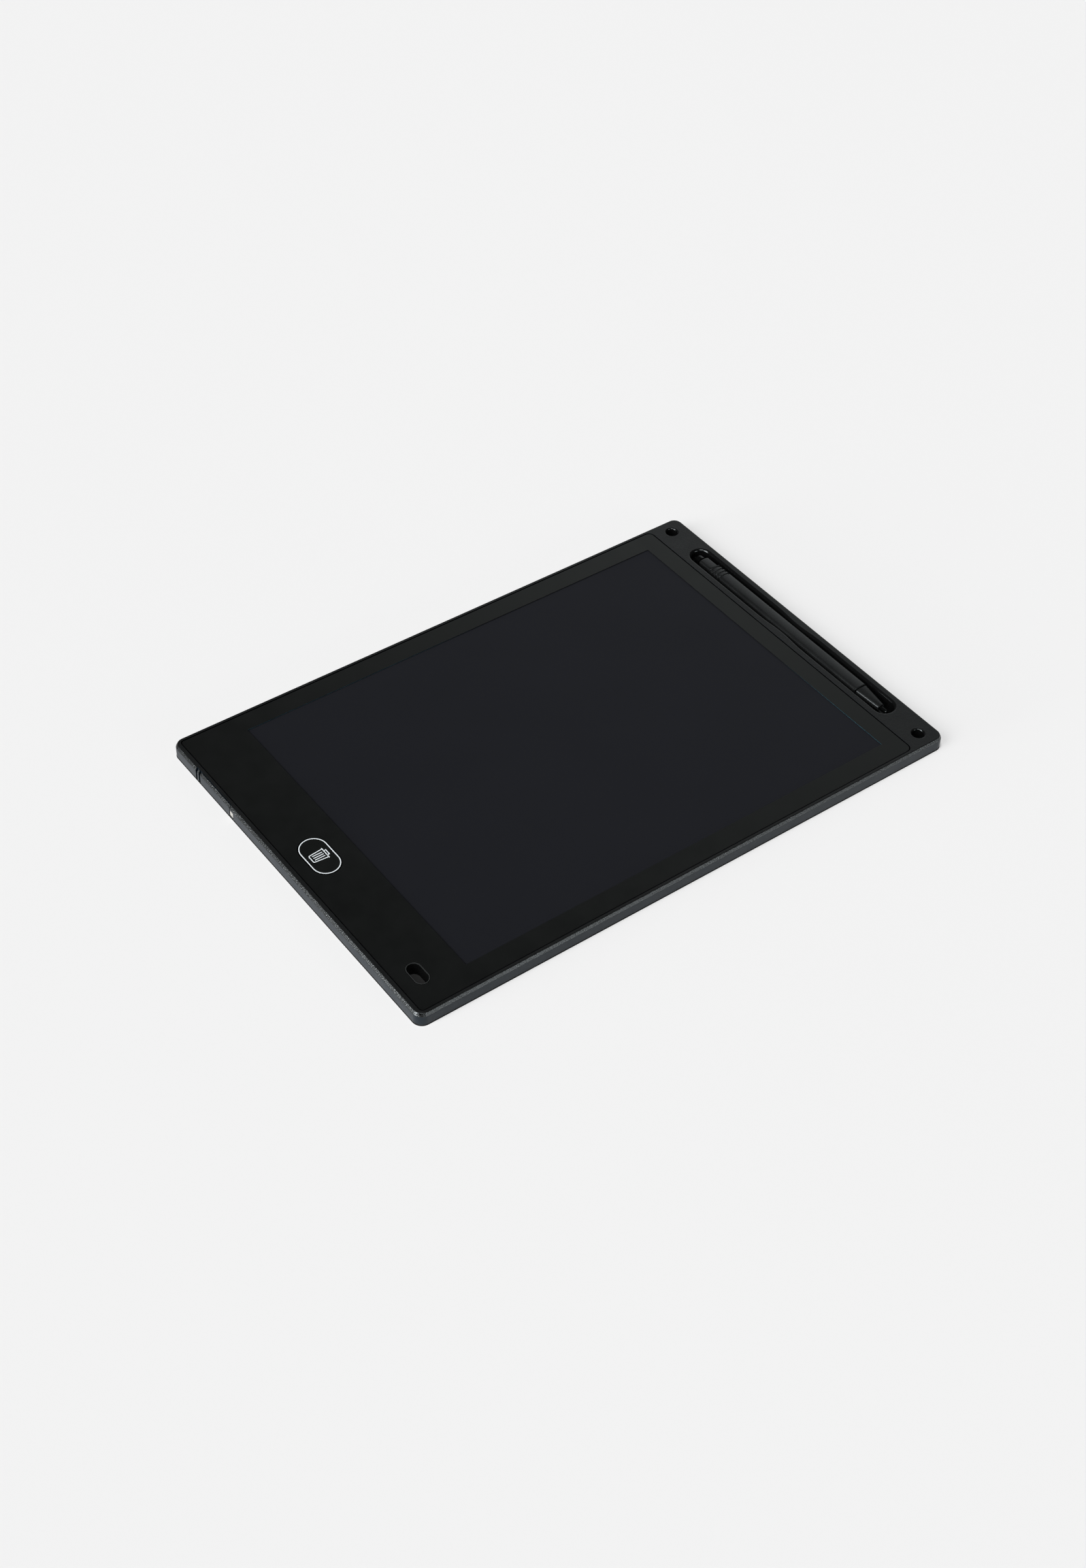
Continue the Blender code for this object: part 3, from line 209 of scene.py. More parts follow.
# Plain technical finishes; their gloss and relief are finer than their patches by a factor
GLOSS_FINER = 2.3
RELIEF_FINER = 6.0
TECHNICAL_WANDER = (-0.06, 0.08)
TECHNICAL_FINISHES = {
    "adhesive": {
        "light": (0.62, 0.60, 0.54), "dark": (0.55, 0.53, 0.47),
        "roughness": 0.6, "scale": 300.0, "depth": 0.02 * MM},
    "backing": {
        "light": (0.012, 0.012, 0.012), "dark": (0.008, 0.008, 0.008),
        "roughness": 0.55, "scale": 300.0, "depth": 0.02 * MM},
    "board": {
        "light": (0.02, 0.12, 0.05), "dark": (0.012, 0.08, 0.035),
        "roughness": 0.4, "scale": 900.0, "depth": 0.01 * MM},
    "chip_plastic": {
        "light": (0.018, 0.018, 0.019), "dark": (0.012, 0.012, 0.013),
        "roughness": 0.5, "scale": 1200.0, "depth": 0.01 * MM},
    "ceramic": {
        "light": (0.45, 0.32, 0.18), "dark": (0.38, 0.26, 0.15),
        "roughness": 0.45, "scale": 1500.0, "depth": 0.01 * MM},
    "flex": {
        "light": (0.42, 0.17, 0.03), "dark": (0.34, 0.12, 0.02),
        "roughness": 0.3, "scale": 700.0, "depth": 0.004 * MM},
    "contact_metal": {
        "light": (0.72, 0.71, 0.67), "dark": (0.62, 0.60, 0.55),
        "roughness": 0.3, "scale": 800.0, "depth": 0.004 * MM, "metallic": 1.0},
    "cell_metal": {
        "light": (0.66, 0.66, 0.65), "dark": (0.57, 0.57, 0.56),
        "roughness": 0.32, "scale": 500.0, "depth": 0.003 * MM, "metallic": 1.0},
    "screw_metal": {
        "light": (0.48, 0.48, 0.47), "dark": (0.38, 0.38, 0.37),
        "roughness": 0.35, "scale": 900.0, "depth": 0.005 * MM, "metallic": 1.0},
    "key_print": {
        "light": (0.80, 0.84, 0.86), "dark": (0.68, 0.73, 0.76),
        "roughness": 0.5, "scale": 1800.0, "depth": 0.01 * MM},
}

# The mix node's colour sockets, which come after those for numbers and vectors
MIX_FACTOR = 0
MIX_FIRST = 6
MIX_SECOND = 7
MIX_RESULT = 2


# Node trees

def add_node(tree, kind, inputs=None, **settings):
    """A node with its settings; each input is a value or the output socket that feeds it."""
    made = tree.nodes.new(kind)
    for name, value in settings.items():
        setattr(made, name, value)
    for name, value in (inputs or {}).items():
        if isinstance(value, bpy.types.NodeSocket):
            tree.links.new(value, made.inputs[name])
        else:
            made.inputs[name].default_value = value
    return made


def opened(material):
    """A material's node tree, its shader and the place on the object that is shaded."""
    tree = material.node_tree
    place = add_node(tree, "ShaderNodeTexCoord").outputs["Object"]
    return tree, tree.nodes["Principled BSDF"], place


def new_material(name, **sockets):
    """A material whose shader has its constant values set on its own sockets."""
    material = bpy.data.materials.new(name)
    material.use_nodes = True
    tree, shader, place = opened(material)
    for socket, value in sockets.items():
        shader.inputs[socket.replace("_", " ")].default_value = value
    return material, tree, shader, place


def feeding(shader, socket):
    """The output that feeds one of the shader's sockets."""
    return shader.inputs[socket].links[0].from_socket


def maths(tree, operation, first, second=0.0):
    """One step of arithmetic on one or two values."""
    return add_node(tree, "ShaderNodeMath", {0: first, 1: second}, operation=operation).outputs["Value"]


def vectors(tree, operation, first, second=(0.0, 0.0, 0.0)):
    """One step of arithmetic on one or two vectors: a vector, or a number for a dot product."""
    made = add_node(tree, "ShaderNodeVectorMath", {0: first, 1: second}, operation=operation)
    return made.outputs["Value" if operation == "DOT_PRODUCT" else "Vector"]


def on_axis(tree, vector, axis):
    """One of a vector's three numbers."""
    return add_node(tree, "ShaderNodeSeparateXYZ", {"Vector": vector}).outputs[axis]


def noise(tree, place, scale, detail=3.0, roughness=0.55):
    """Fractal noise from 0 to 1; scale is in features per metre."""
    made = add_node(tree, "ShaderNodeTexNoise", {
        "Vector": place, "Scale": scale, "Detail": detail, "Roughness": roughness})
    return made.outputs["Fac"]


def spread(tree, value, low, high, start=0.3, end=0.7):
    """The value's range from start to end, stretched from low to high."""
    made = add_node(tree, "ShaderNodeMapRange", {
        "Value": value, "From Min": start, "From Max": end, "To Min": low, "To Max": high})
    return made.outputs["Result"]


def either(tree, factor, first, second):
    """The first value at factor 0, the second at 1 and a blend of them in between."""
    return spread(tree, factor, first, second, 0.0, 1.0)


def uneven(tree, place, scale, middle, wander, detail):
    """A value that wanders about a middle one over the surface; scale is in features per metre."""
    below, above = wander
    return spread(tree, noise(tree, place, scale, detail), middle + below, middle + above)


def blend(tree, factor, first, second):
    """A colour between two others."""
    made = add_node(tree, "ShaderNodeMix", {
        MIX_FACTOR: factor, MIX_FIRST: first, MIX_SECOND: second}, data_type="RGBA")
    return made.outputs[MIX_RESULT]


def patches(tree, place, scale, dark, pale, detail=4.0):
    """A colour in soft patches between two others; scale is in patches per metre."""
    return blend(tree, spread(tree, noise(tree, place, scale, detail), 0.0, 1.0), dark, pale)


def bump(tree, height, distance, strength=1.0):
    """A surface normal raised by the height."""
    inputs = {"Height": height, "Distance": distance, "Strength": strength}
    return add_node(tree, "ShaderNodeBump", inputs).outputs["Normal"]


def shaded(colour, level=1.0):
    """An opaque colour, times a level of brightness."""
    return tuple(share * level for share in colour) + (1.0,)


def past_outline(tree, place, low, high, radius=0.0):
    """How far a place is outside an upright box with rounded corners, seen from above; negative inside."""
    rounding = Vector((radius, radius, 0.0))
    offset = vectors(tree, "SUBTRACT", place, (low + high) / 2.0)
    past = vectors(tree, "SUBTRACT", vectors(tree, "ABSOLUTE", offset), (high - low) / 2.0 - rounding)
    across = on_axis(tree, past, "X")
    along = on_axis(tree, past, "Y")
    inside = maths(tree, "MINIMUM", maths(tree, "MAXIMUM", across, along), 0.0)
    out_across = maths(tree, "MAXIMUM", across, 0.0)
    out_along = maths(tree, "MAXIMUM", along, 0.0)
    squares = maths(tree, "ADD", maths(tree, "MULTIPLY", out_across, out_across),
                    maths(tree, "MULTIPLY", out_along, out_along))
    outside = maths(tree, "SQRT", squares)
    return maths(tree, "SUBTRACT", maths(tree, "ADD", inside, outside), radius)


def upward(tree):
    """How far a surface faces up: 1 for level, 0 for upright and -1 for facing down."""
    return on_axis(tree, add_node(tree, "ShaderNodeNewGeometry").outputs["Normal"], "Z")


# Materials

def moulded_plastic(name, level, roughness, grain_scale, grain_depth, specular=0.5):
    """Black moulded plastic with a fine spark-eroded grain and faint handling marks."""
    material, tree, shader, place = new_material(
        name, Specular_IOR_Level=specular, Specular_Tint=CASE_GLEAM)
    dark, pale = (shaded(BLACK_TINT, level * share) for share in PLASTIC_TONES)
    colour = patches(tree, place, PLASTIC_PATCHES, dark, pale)
    rough = uneven(tree, place, PLASTIC_MARKS, roughness, PLASTIC_WANDER, detail=5.0)
    grain = noise(tree, place, grain_scale, detail=2.0, roughness=0.6)
    strength = spread(tree, maths(tree, "ABSOLUTE", upward(tree)), SIDE_GRAIN, 1.0, *SIDE_GRAIN_SPAN)
    tree.links.new(colour, shader.inputs["Base Color"])
    tree.links.new(rough, shader.inputs["Roughness"])
    tree.links.new(bump(tree, grain, grain_depth, strength), shader.inputs["Normal"])
    return material


def handle_edges(material):
    """Gives the casing's plastic glossier, coarser edges where it is handled, and duller sides coloured with
    a painted bluish reflection.
    """
    tree, shader, place = opened(material)
    low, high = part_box("front_housing")
    level_share = maths(tree, "ABSOLUTE", upward(tree))
    off_slant = maths(tree, "ABSOLUTE", maths(tree, "SUBTRACT", level_share, EDGE_SLANT))
    slant = spread(tree, off_slant, 1.0, 0.0, *EDGE_SLANT_SPAN)
    past = past_outline(tree, place, low, high)
    outer = spread(tree, past, 0.0, 1.0, -EDGE_WIDTH, MASK_SOFT - EDGE_WIDTH)
    edge = maths(tree, "MULTIPLY", slant, outer)
    side = spread(tree, level_share, 1.0, 0.0, *SIDE_SPAN)
    colour = feeding(shader, "Base Color")
    rough = feeding(shader, "Roughness")
    relief = feeding(shader, "Normal").node.inputs["Distance"]
    gloss = shader.inputs["Specular IOR Level"]
    smoother = maths(tree, "MULTIPLY", maths(tree, "SUBTRACT", EDGE_ROUGHNESS, rough), edge)
    face_gloss = either(tree, side, gloss.default_value, SIDE_SPECULAR)
    edge_gloss = maths(tree, "MULTIPLY", edge, EDGE_SPECULAR - gloss.default_value)
    # Painted reflection: upright sides take a bluish tone that stands in for the sheen they show.
    tree.links.new(blend(tree, side, colour, SIDE_SHEEN_TONE), shader.inputs["Base Color"])
    tree.links.new(maths(tree, "ADD", rough, smoother), shader.inputs["Roughness"])
    tree.links.new(either(tree, edge, relief.default_value, EDGE_GRAIN), relief)
    tree.links.new(maths(tree, "ADD", face_gloss, edge_gloss), gloss)


def inner_walls(tree, place):
    """1 on the casing's inner walls, in its slot, holes and recess, and 0 on its outside."""
    low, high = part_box("front_housing")
    past = past_outline(tree, place, low, high)
    inside = spread(tree, past, 1.0, 0.0, -POLISH_INSET, MASK_SOFT - POLISH_INSET)
    sunk = spread(tree, on_axis(tree, place, "Z"), 1.0, 0.0, high.z - POLISH_DEPTH, high.z)
    return maths(tree, "MULTIPLY", inside, sunk)


def polish_and_shade_inner_walls(material):
    """Makes the casing's plastic smoother and glossier on its inner walls, and darker there as painted shade
    in its slot, holes and recess.
    """
    tree, shader, place = opened(material)
    walls = inner_walls(tree, place)
    colour = feeding(shader, "Base Color")
    rough = feeding(shader, "Roughness")
    raised = feeding(shader, "Normal").node.inputs["Strength"]
    glossy = maths(tree, "MULTIPLY", maths(tree, "SUBTRACT", POLISH_ROUGHNESS, rough), walls)
    plain = maths(tree, "SUBTRACT", 1.0, walls)
    # Painted shade: the inner walls take a darker tone than the outside.
    polished_and_shaded = blend(tree, walls, colour, shaded(BLACK_TINT, INNER_SHADE_LEVEL))
    tree.links.new(polished_and_shaded, shader.inputs["Base Color"])
    tree.links.new(maths(tree, "ADD", rough, glossy), shader.inputs["Roughness"])
    tree.links.new(maths(tree, "MULTIPLY", raised.links[0].from_socket, plain), raised)


def paint_collar_highlight(material):
    """Paints the casing's plastic paler on the lanyard hole's raised collar: a painted highlight where the
    collar's rim catches light.
    """
    tree, shader, place = opened(material)
    low, high = (Vector(corner) for corner in frame["record"]["physics"]["openings"][0]["box_m"])
    half = Vector((COLLAR_LENGTH / 2.0, COLLAR_WIDTH / 2.0, 0.0))
    middle = (low + high) / 2.0
    past = past_outline(tree, place, middle - half, middle + half, COLLAR_WIDTH / 2.0)
    beside = spread(tree, past, 1.0, 0.0, COLLAR_RIM, COLLAR_RIM + COLLAR_SOFT)
    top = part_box("front_housing")[1].z
    raised = spread(tree, on_axis(tree, place, "Z"), 0.0, 1.0, top - COLLAR_DEPTH, top)
    ring = maths(tree, "MULTIPLY", beside, raised)
    # Painted highlight: the collar ring takes a paler tone that stands in for light caught on its rim.
    collar_highlight = blend(tree, ring, feeding(shader, "Base Color"), shaded(BLACK_TINT, COLLAR_HIGHLIGHT_LEVEL))
    tree.links.new(collar_highlight, shader.inputs["Base Color"])


def case_plastic():
    """The casing's plastic, with its edges, its sides in a painted bluish sheen, painted shade on its inner
    walls and a painted highlight on its collar.
    """
    material = moulded_plastic(
        "case_plastic", level=0.0060, roughness=0.32, grain_scale=2600.0, grain_depth=0.05 * MM,
        specular=0.40)
    handle_edges(material)
    polish_and_shade_inner_walls(material)
    paint_collar_highlight(material)
    return material


def window_corners():
    """The writing window's lower left and upper right corners, from the border film's own inner edge."""
    low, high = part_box("border_mask")
    key_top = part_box("erase_key")[1].y
    middle = (low + high) / 2.0
    reach_x = WINDOW_WIDTH_SHARE * (high.x - low.x) / 2.0
    reach_y = WINDOW_LENGTH_SHARE * (high.y - low.y) / 2.0
    points = [vertex.co for vertex in NODES["border_mask"].data.vertices if vertex.co.y > key_top]
    inner = [p for p in points if abs(p.x - middle.x) < reach_x and p.y < middle.y + reach_y]
    across = [p.x for p in inner]
    along = [p.y for p in inner]
    return Vector((min(across), min(along), low.z)), Vector((max(across), max(along), high.z))


def window_edge_sheen(tree, place):
    """Where the painted sheen goes: 1 on the border film's cut edge at the window, fading out to its upper
    left corner, and 0 elsewhere.
    """
    beside = maths(tree, "ABSOLUTE", past_outline(tree, place, *window_corners()))
    upright = spread(tree, upward(tree), 1.0, 0.0, *CUT_UPWARD_SPAN)
    cut = maths(tree, "MULTIPLY", upright, spread(tree, beside, 1.0, 0.0, CUT_REACH / 2.0, CUT_REACH))
    diagonal = maths(tree, "SUBTRACT", on_axis(tree, place, "X"), on_axis(tree, place, "Y"))
    return maths(tree, "MULTIPLY", cut, spread(tree, diagonal, 0.0, 1.0, *CUT_STRETCH))


def satin_film(name):
    """Smooth black film with a slight orange peel, specks of dust and a painted greenish sheen on its cut
    edge at the window.
    """
    material, tree, shader, place = new_material(
        name, Specular_IOR_Level=FILM_SPECULAR, Specular_Tint=FILM_GLEAM)
    dark, pale = (shaded(BLACK_TINT, FILM_LEVEL * share) for share in FILM_TONES)
    face = patches(tree, place, FILM_PATCHES, dark, pale)
    cells = add_node(tree, "ShaderNodeTexVoronoi", {"Vector": place, "Scale": DUST_SCALE}, feature="F1")
    specks = spread(tree, cells.outputs["Distance"], 1.0, 0.0, *DUST_SPAN)
    dusty = blend(tree, specks, face, DUST_COLOUR)
    # Painted sheen: a greenish line on the upright cut edge at the window, fading along it.
    colour = blend(tree, window_edge_sheen(tree, place), dusty, EDGE_SHEEN_COLOUR)
    rough = uneven(tree, place, FILM_MARKS, FILM_ROUGHNESS, FILM_WANDER, detail=5.0)
    peel = noise(tree, place, PEEL_SCALE, detail=2.0)
    tree.links.new(colour, shader.inputs["Base Color"])
    tree.links.new(rough, shader.inputs["Roughness"])
    tree.links.new(bump(tree, peel, PEEL_DEPTH), shader.inputs["Normal"])
    return material


def writing_film(name):
    """The near-black writing film, evenly satin, with a hint of blue."""
    material, tree, shader, place = new_material(name, Specular_IOR_Level=SCREEN_SPECULAR)
    dark, pale = (shaded(SCREEN_COLOUR, share) for share in SCREEN_TONES)
    colour = patches(tree, place, SCREEN_PATCHES, dark, pale)
    rough = uneven(tree, place, SCREEN_MARKS, SCREEN_ROUGHNESS, SCREEN_WANDER, detail=4.0)
    weave = noise(tree, place, WEAVE_SCALE, detail=2.0)
    tree.links.new(colour, shader.inputs["Base Color"])
    tree.links.new(rough, shader.inputs["Roughness"])
    tree.links.new(bump(tree, weave, WEAVE_DEPTH), shader.inputs["Normal"])
    return material


def technical(name, light, dark, roughness, scale, depth, metallic=0.0):
    """A plain technical finish: two close tones, uneven gloss and a little relief."""
    material, tree, shader, place = new_material(name, Metallic=metallic)
    colour = patches(tree, place, scale, shaded(dark), shaded(light))
    rough = uneven(tree, place, scale * GLOSS_FINER, roughness, TECHNICAL_WANDER, detail=4.0)
    relief = noise(tree, place, scale * RELIEF_FINER, detail=2.0)
    tree.links.new(colour, shader.inputs["Base Color"])
    tree.links.new(rough, shader.inputs["Roughness"])
    tree.links.new(bump(tree, relief, depth), shader.inputs["Normal"])
    return material


def make_materials():
    """One finish for each material slot of the record, and one for the key's print."""
    materials = {
        "case_plastic": case_plastic(),
        "cover_plastic": moulded_plastic(
            "cover_plastic", level=0.0075, roughness=0.48, grain_scale=1900.0, grain_depth=0.06 * MM),
        "stylus_plastic": moulded_plastic(
            "stylus_plastic", level=0.0085, roughness=0.25, grain_scale=3400.0, grain_depth=0.02 * MM),
        "stylus_gloss": moulded_plastic(
            "stylus_gloss", level=0.002, roughness=0.12, grain_scale=3000.0, grain_depth=0.001 * MM,
            specular=0.3),
        "border_film": satin_film("border_film"),
        "key_plastic": satin_film("key_plastic"),
        "lcd": writing_film("lcd"),
    }
    for name, finish in TECHNICAL_FINISHES.items():
        materials[name] = technical(name, **finish)
    return materials


# CAD nodes

def smooth_by_angle():
    """Geometry nodes that join a mesh's split corners and shade it smooth up to the edge angle."""
    tree = bpy.data.node_groups.new("smooth_by_angle", "GeometryNodeTree")
    tree.interface.new_socket("Geometry", in_out="INPUT", socket_type="NodeSocketGeometry")
    tree.interface.new_socket("Geometry", in_out="OUTPUT", socket_type="NodeSocketGeometry")
    start = add_node(tree, "NodeGroupInput").outputs["Geometry"]
    joined = add_node(tree, "GeometryNodeMergeByDistance", {"Geometry": start, "Distance": WELD_GAP})
    smooth = add_node(tree, "GeometryNodeSetShadeSmooth", {
        "Geometry": joined.outputs["Geometry"], "Shade Smooth": True}, domain="FACE")
    angle = add_node(tree, "GeometryNodeInputMeshEdgeAngle").outputs["Unsigned Angle"]
    sharp = add_node(tree, "FunctionNodeCompare", {"A": angle, "B": EDGE_ANGLE}, operation="GREATER_THAN")
    crisp = add_node(tree, "GeometryNodeSetShadeSmooth", {
        "Geometry": smooth.outputs["Geometry"], "Selection": sharp.outputs["Result"],
        "Shade Smooth": False}, domain="EDGE")
    add_node(tree, "NodeGroupOutput", {"Geometry": crisp.outputs["Geometry"]})
    return tree


def dress_nodes(materials):
    """Gives each node its slot's finish and clean shading."""
    shading = smooth_by_angle()
    slots = {part["node"]: part["material_slot"] for part in frame["record"]["subparts"]}
    for name, node in NODES.items():
        node.data.materials.clear()
        node.data.materials.append(materials[slots[name]])
        node.data.attributes.remove(node.data.attributes["custom_normal"])
        node.modifiers.new("shading", "NODES").node_group = shading
        flats = node.modifiers.new("flats", "DECIMATE")
        flats.decimate_type = "DISSOLVE"
        flats.angle_limit = FLAT_ANGLE
        evened = node.modifiers.new("evened", "WEIGHTED_NORMAL")
        evened.weight = EVEN_WEIGHT
        evened.keep_sharp = True


# The key's printed marks

def stadium(length, width):
    """Points round a shape with straight sides and half-round ends."""
    radius = width / 2.0
    reach = length / 2.0 - radius
    points = []
    for side in (1, -1):
        for step in range(ARC_STEPS + 1):
            turn = math.pi * (step / ARC_STEPS - 0.5)
            points.append(Vector((side * (reach + radius * math.cos(turn)), side * radius * math.sin(turn))))
    return points


def ribbon_sides(points, width, closed):
    """The left and right edges of a line of one width through the points."""
    left = []
    right = []
    count = len(points)
    for i, point in enumerate(points):
        before = points[i - 1] if closed or i else point
        after = points[(i + 1) % count] if closed or i < count - 1 else point
        run_in = (point - before).normalized() if point != before else (after - point).normalized()
        run_out = (after - point).normalized() if after != point else run_in
        along = (run_in + run_out).normalized()
        across = Vector((-along.y, along.x))
        reach = width / 2.0 / max(MITRE_LIMIT, across.dot(Vector((-run_in.y, run_in.x))))
        left.append(point + across * reach)
        right.append(point - across * reach)
    return left, right


def print_line(mesh, points, width, centre, base, closed=False):
    """Adds a thin raised line through the points to the mesh."""
    left, right = ribbon_sides(points, width, closed)
    count = len(points)
    rows = []
    for height in (base, base + PRINT_HEIGHT):
        for side in (left, right):
            rows.append([mesh.verts.new((centre.x + p.x, centre.y + p.y, height)) for p in side])
    low_left, low_right, top_left, top_right = rows
    around = ((top_left, top_right), (top_right, low_right), (low_right, low_left), (low_left, top_left))
    for i in range(count if closed else count - 1):
        following = (i + 1) % count
        for one, other in around:
            mesh.faces.new((one[i], other[i], other[following], one[following]))
    if not closed:
        for i in (0, count - 1):
            mesh.faces.new((low_left[i], low_right[i], top_right[i], top_left[i]))


def bin_lines():
    """The bin pictogram: body, lid, handle and three slats, each as a run of points."""
    lid = BIN_LID_WIDTH / 2.0
    handle = BIN_HANDLE_WIDTH / 2.0
    top = BIN_TOP_WIDTH / 2.0
    foot = BIN_FOOT_WIDTH / 2.0
    left_corner = []
    for step in range(CORNER_STEPS + 1):
        turn = math.pi / 2.0 * step / CORNER_STEPS
        left_corner.append((-foot + BIN_FOOT_ROUND * (1.0 - math.cos(turn)),
                            BIN_FOOT_Y + BIN_FOOT_ROUND * (1.0 - math.sin(turn))))
    right_corner = [(-x, y) for x, y in reversed(left_corner)]
    lines = [
        [(-top, BIN_TOP_Y), *left_corner, *right_corner, (top, BIN_TOP_Y)],
        [(-lid, BIN_LID_Y), (lid, BIN_LID_Y)],
        [(-handle, BIN_LID_Y), (-handle, BIN_HANDLE_Y), (handle, BIN_HANDLE_Y), (handle, BIN_LID_Y)],
    ]
    for place in (-1, 0, 1):
        lines.append([(place * BIN_SLAT_STEP, BIN_SLAT_TOP), (place * BIN_SLAT_STEP, BIN_SLAT_FOOT)])
    return [[Vector(point) for point in line] for line in lines]


def new_object(name, mesh, material):
    """An object in the scene from a finished mesh, with one material."""
    data = bpy.data.meshes.new(name)
    mesh.to_mesh(data)
    mesh.free()
    data.materials.append(material)
    made = bpy.data.objects.new(name, data)
    SCENE.collection.objects.link(made)
    return made


def make_key_print(material):
    """The pale ring and the bin on the key's top."""
    low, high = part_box("erase_key")
    centre = (low + high) / 2.0
    mesh = bmesh.new()
    ring = stadium(RING_LENGTH - RING_LINE, RING_WIDTH - RING_LINE)
    print_line(mesh, ring, RING_LINE, centre, high.z, closed=True)
    for line in bin_lines():
        print_line(mesh, line, BIN_LINE, centre + Vector((BIN_X, 0.0, 0.0)), high.z)
    bmesh.ops.recalc_face_normals(mesh, faces=mesh.faces)
    piece = new_object("key_print", mesh, material)
    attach(piece, "erase_key")


# Studio

def pale_share(tree, past):
    """How far the floor shows its own tone: not under the part, and only slowly so where it is mirrored."""
    path = add_node(tree, "ShaderNodeLightPath").outputs
    seen = maths(tree, "MAXIMUM", path["Is Camera Ray"], path["Is Transmission Ray"])
    direct = maths(tree, "MULTIPLY", seen, spread(tree, past, 0.0, PALE_SHARE, 0.0, PALE_RIM))
    fade = spread(tree, past, 0.0, PALE_SHARE, 0.0, MIRROR_RIM)
    return maths(tree, "MAXIMUM", direct, maths(tree, "MULTIPLY", path["Is Glossy Ray"], fade))


def mirrored_dimming(tree, place, past):
    """How far the floor is dimmed where a surface mirrors it: beside the part, towards its left."""
    mirrored = add_node(tree, "ShaderNodeLightPath").outputs["Is Glossy Ray"]
    leftward = spread(tree, on_axis(tree, place, "X"), DIM_SHARE, 0.0, *DIM_SPAN)
    share = maths(tree, "MULTIPLY", mirrored, leftward)
    return maths(tree, "MULTIPLY", share, spread(tree, past, 0.0, 1.0, DIM_RIM, 2.0 * DIM_RIM))


def floor_paper():
    """Pale paper, mostly of its own tone where seen directly or mirrored, and darkened by a painted shadow
    under the part and along its outline.
    """
    material, tree, shader, place = new_material(
        "floor_paper", Specular_IOR_Level=FLOOR_SPECULAR, Roughness=FLOOR_ROUGHNESS)
    darker = shaded(FLOOR_COLOUR, FLOOR_DARKER)
    paper = patches(tree, place, FLOOR_PATCHES, darker, shaded(FLOOR_COLOUR), detail=2.0)
    low, high = (Vector(corner) for corner in CAD_BOX)
    past = past_outline(tree, place, low, high, OUTLINE_RADIUS)
    colour = blend(tree, mirrored_dimming(tree, place, past), paper, BLACK)
    # Painted shadow: the paper's colour falls to near black under the part and along its outline.
    under = spread(tree, past, UNDER_SHADOW_TONE, CONTACT_SHADOW_TONE, -UNDER_SHADOW_RIM, -UNDER_SHADOW_RIM / 2.0)
    contact = maths(tree, "MAXIMUM", under, spread(tree, past, 0.0, 1.0, 0.0, CONTACT_SHADOW_RIM))
    tree.links.new(blend(tree, contact, BLACK, colour), shader.inputs["Base Color"])
    pale = add_node(tree, "ShaderNodeEmission", {"Color": colour}).outputs["Emission"]
    mixed = add_node(tree, "ShaderNodeMixShader", {
        0: pale_share(tree, past), 1: shader.outputs["BSDF"], 2: pale})
    tree.links.new(mixed.outputs["Shader"], tree.nodes["Material Output"].inputs["Surface"])
    return material


def make_floor():
    """A plain pale floor under the part."""
    mesh = bmesh.new()
    bmesh.ops.create_grid(mesh, x_segments=FLOOR_CELLS, y_segments=FLOOR_CELLS, size=FLOOR_SIZE / 2.0)
    floor = new_object("floor", mesh, floor_paper())


def towards(light):
    """The direction that a light comes from."""
    turn = math.radians(light["azimuth"])
    rise = math.radians(light["elevation"])
    return Vector((math.cos(turn) * math.cos(rise), math.sin(turn) * math.cos(rise), math.sin(rise)))


def add_sun(name, sun):
    """A soft distant light from one direction."""
    lamp = bpy.data.lights.new(name, "SUN")
    lamp.energy = sun["strength"]
    lamp.angle = math.radians(sun["spread"])
    holder = bpy.data.objects.new(name, lamp)
    holder.rotation_euler = towards(sun).to_track_quat("Z", "Y").to_euler()
    SCENE.collection.objects.link(holder)


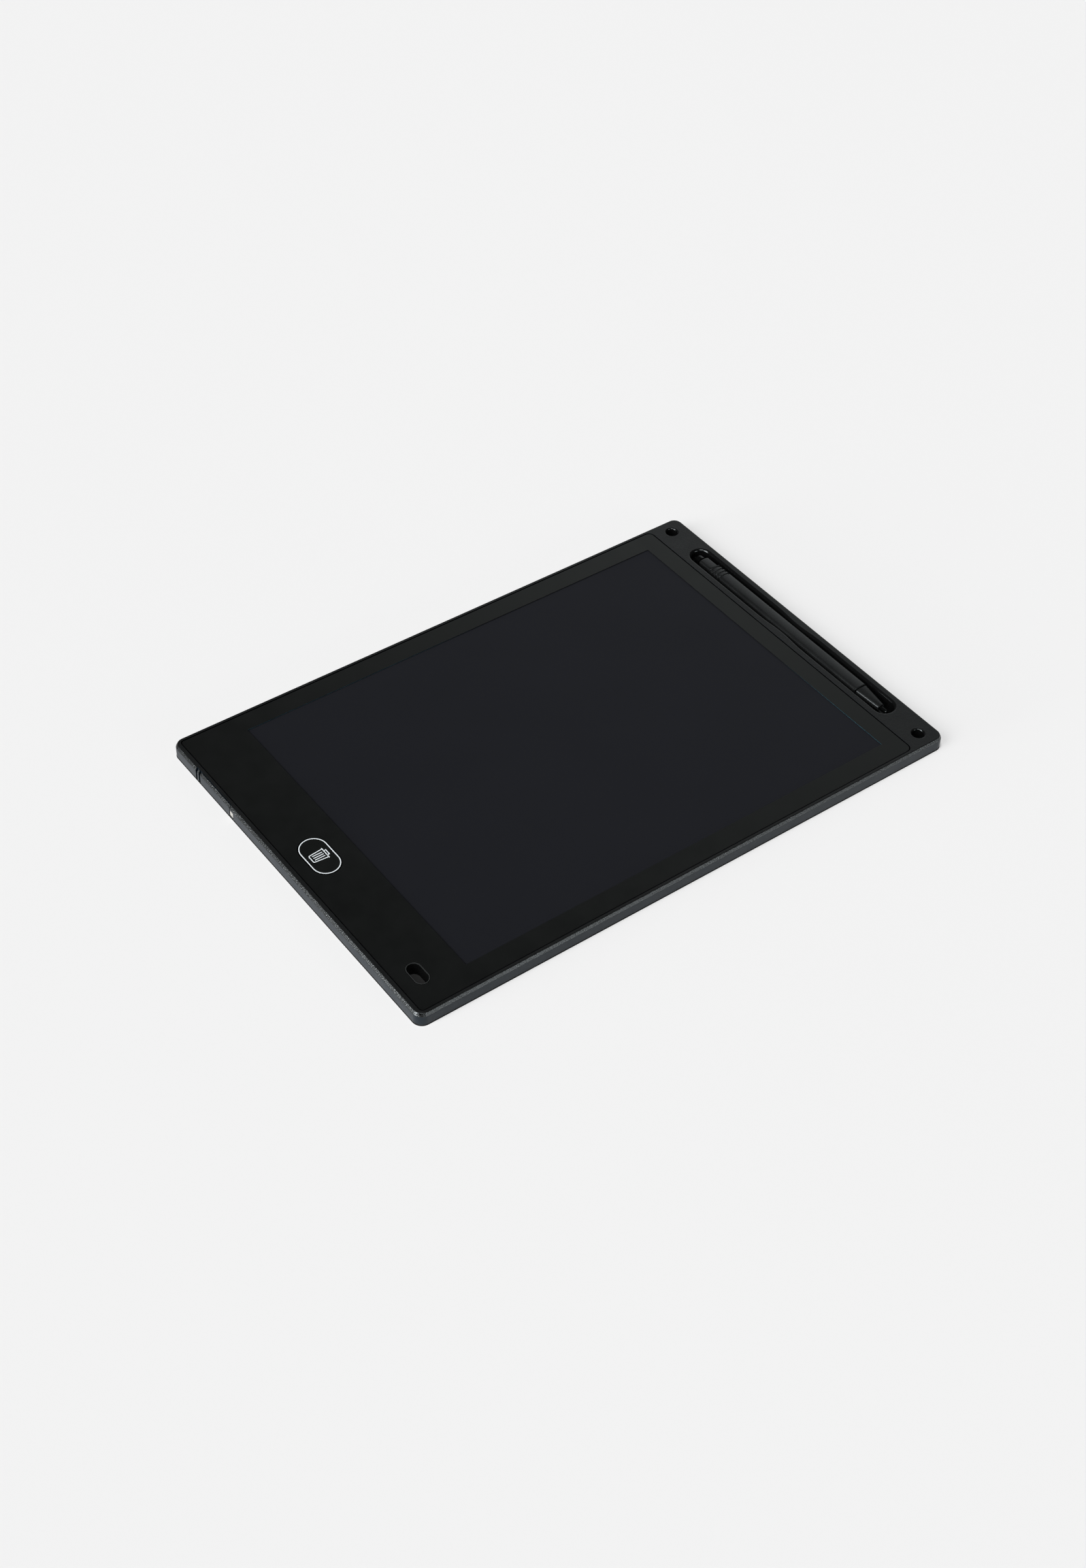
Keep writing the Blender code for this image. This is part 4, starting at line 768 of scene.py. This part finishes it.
def low_window(tree, direction, window):
    """A bright band on the horizon, with soft ends."""
    ahead = towards({"azimuth": window["azimuth"], "elevation": 0.0})
    aside = towards({"azimuth": window["azimuth"] + 90.0, "elevation": 0.0})
    forward = vectors(tree, "DOT_PRODUCT", direction, ahead)
    sideways = vectors(tree, "DOT_PRODUCT", direction, aside)
    turn = maths(tree, "ABSOLUTE", maths(tree, "ARCTAN2", sideways, forward))
    wide_from = math.radians(window["half"] - window["soft"])
    wide_to = math.radians(window["half"] + window["soft"])
    wide = spread(tree, turn, 1.0, 0.0, wide_from, wide_to)
    height = on_axis(tree, direction, "Z")
    top = math.sin(math.radians(window["top"]))
    tall = spread(tree, height, window["level"], 0.0, top - WINDOW_TOP_SOFT, top + WINDOW_TOP_SOFT)
    return maths(tree, "MULTIPLY", wide, tall)


def make_room():
    """The room's light: dark, with a far glow, two low windows and pale ground; pale where seen directly."""
    world = bpy.data.worlds.new("studio")
    world.use_nodes = True
    tree = world.node_tree
    direction = add_node(tree, "ShaderNodeTexCoord").outputs["Generated"]
    nearness = vectors(tree, "DOT_PRODUCT", direction, towards(GLOW_TOWARDS))
    glow = add_node(tree, "ShaderNodeMapRange", {
        "Value": nearness, "From Min": GLOW_RIM, "From Max": GLOW_HEART,
        "To Min": ROOM_DARK, "To Max": GLOW_PALE}, interpolation_type="SMOOTHSTEP")
    front = low_window(tree, direction, FRONT_WINDOW)
    right = low_window(tree, direction, RIGHT_WINDOW)
    level = maths(tree, "ADD", glow.outputs["Result"], maths(tree, "ADD", front, right))
    ground = maths(tree, "LESS_THAN", on_axis(tree, direction, "Z"), GROUND_TOP)
    seen = add_node(tree, "ShaderNodeLightPath").outputs["Is Camera Ray"]
    lit = either(tree, ground, level, GROUND_PALE)
    background = tree.nodes["Background"]
    background.inputs["Color"].default_value = ROOM_TINT
    tree.links.new(either(tree, seen, lit, ROOM_PALE), background.inputs["Strength"])
    SCENE.world = world


def make_camera():
    """The photograph's view."""
    data = bpy.data.cameras.new("camera")
    data.lens = CAMERA_LENS
    data.sensor_width = SENSOR_WIDTH
    camera = bpy.data.objects.new("camera", data)
    aim = (CAMERA_TARGET - CAMERA_PLACE).to_track_quat("-Z", "Y").to_matrix().to_4x4()
    camera.matrix_world = Matrix.Translation(CAMERA_PLACE) @ aim @ Matrix.Rotation(CAMERA_ROLL, 4, "Z")
    SCENE.collection.objects.link(camera)
    SCENE.camera = camera


def main():
    """Dresses the frame, then sets up the studio round it."""
    materials = make_materials()
    dress_nodes(materials)
    make_key_print(materials["key_print"])
    make_floor()
    for name, sun in SUNS.items():
        add_sun(name, sun)
    make_room()
    make_camera()
    SCENE.view_settings.view_transform = "Standard"


main()
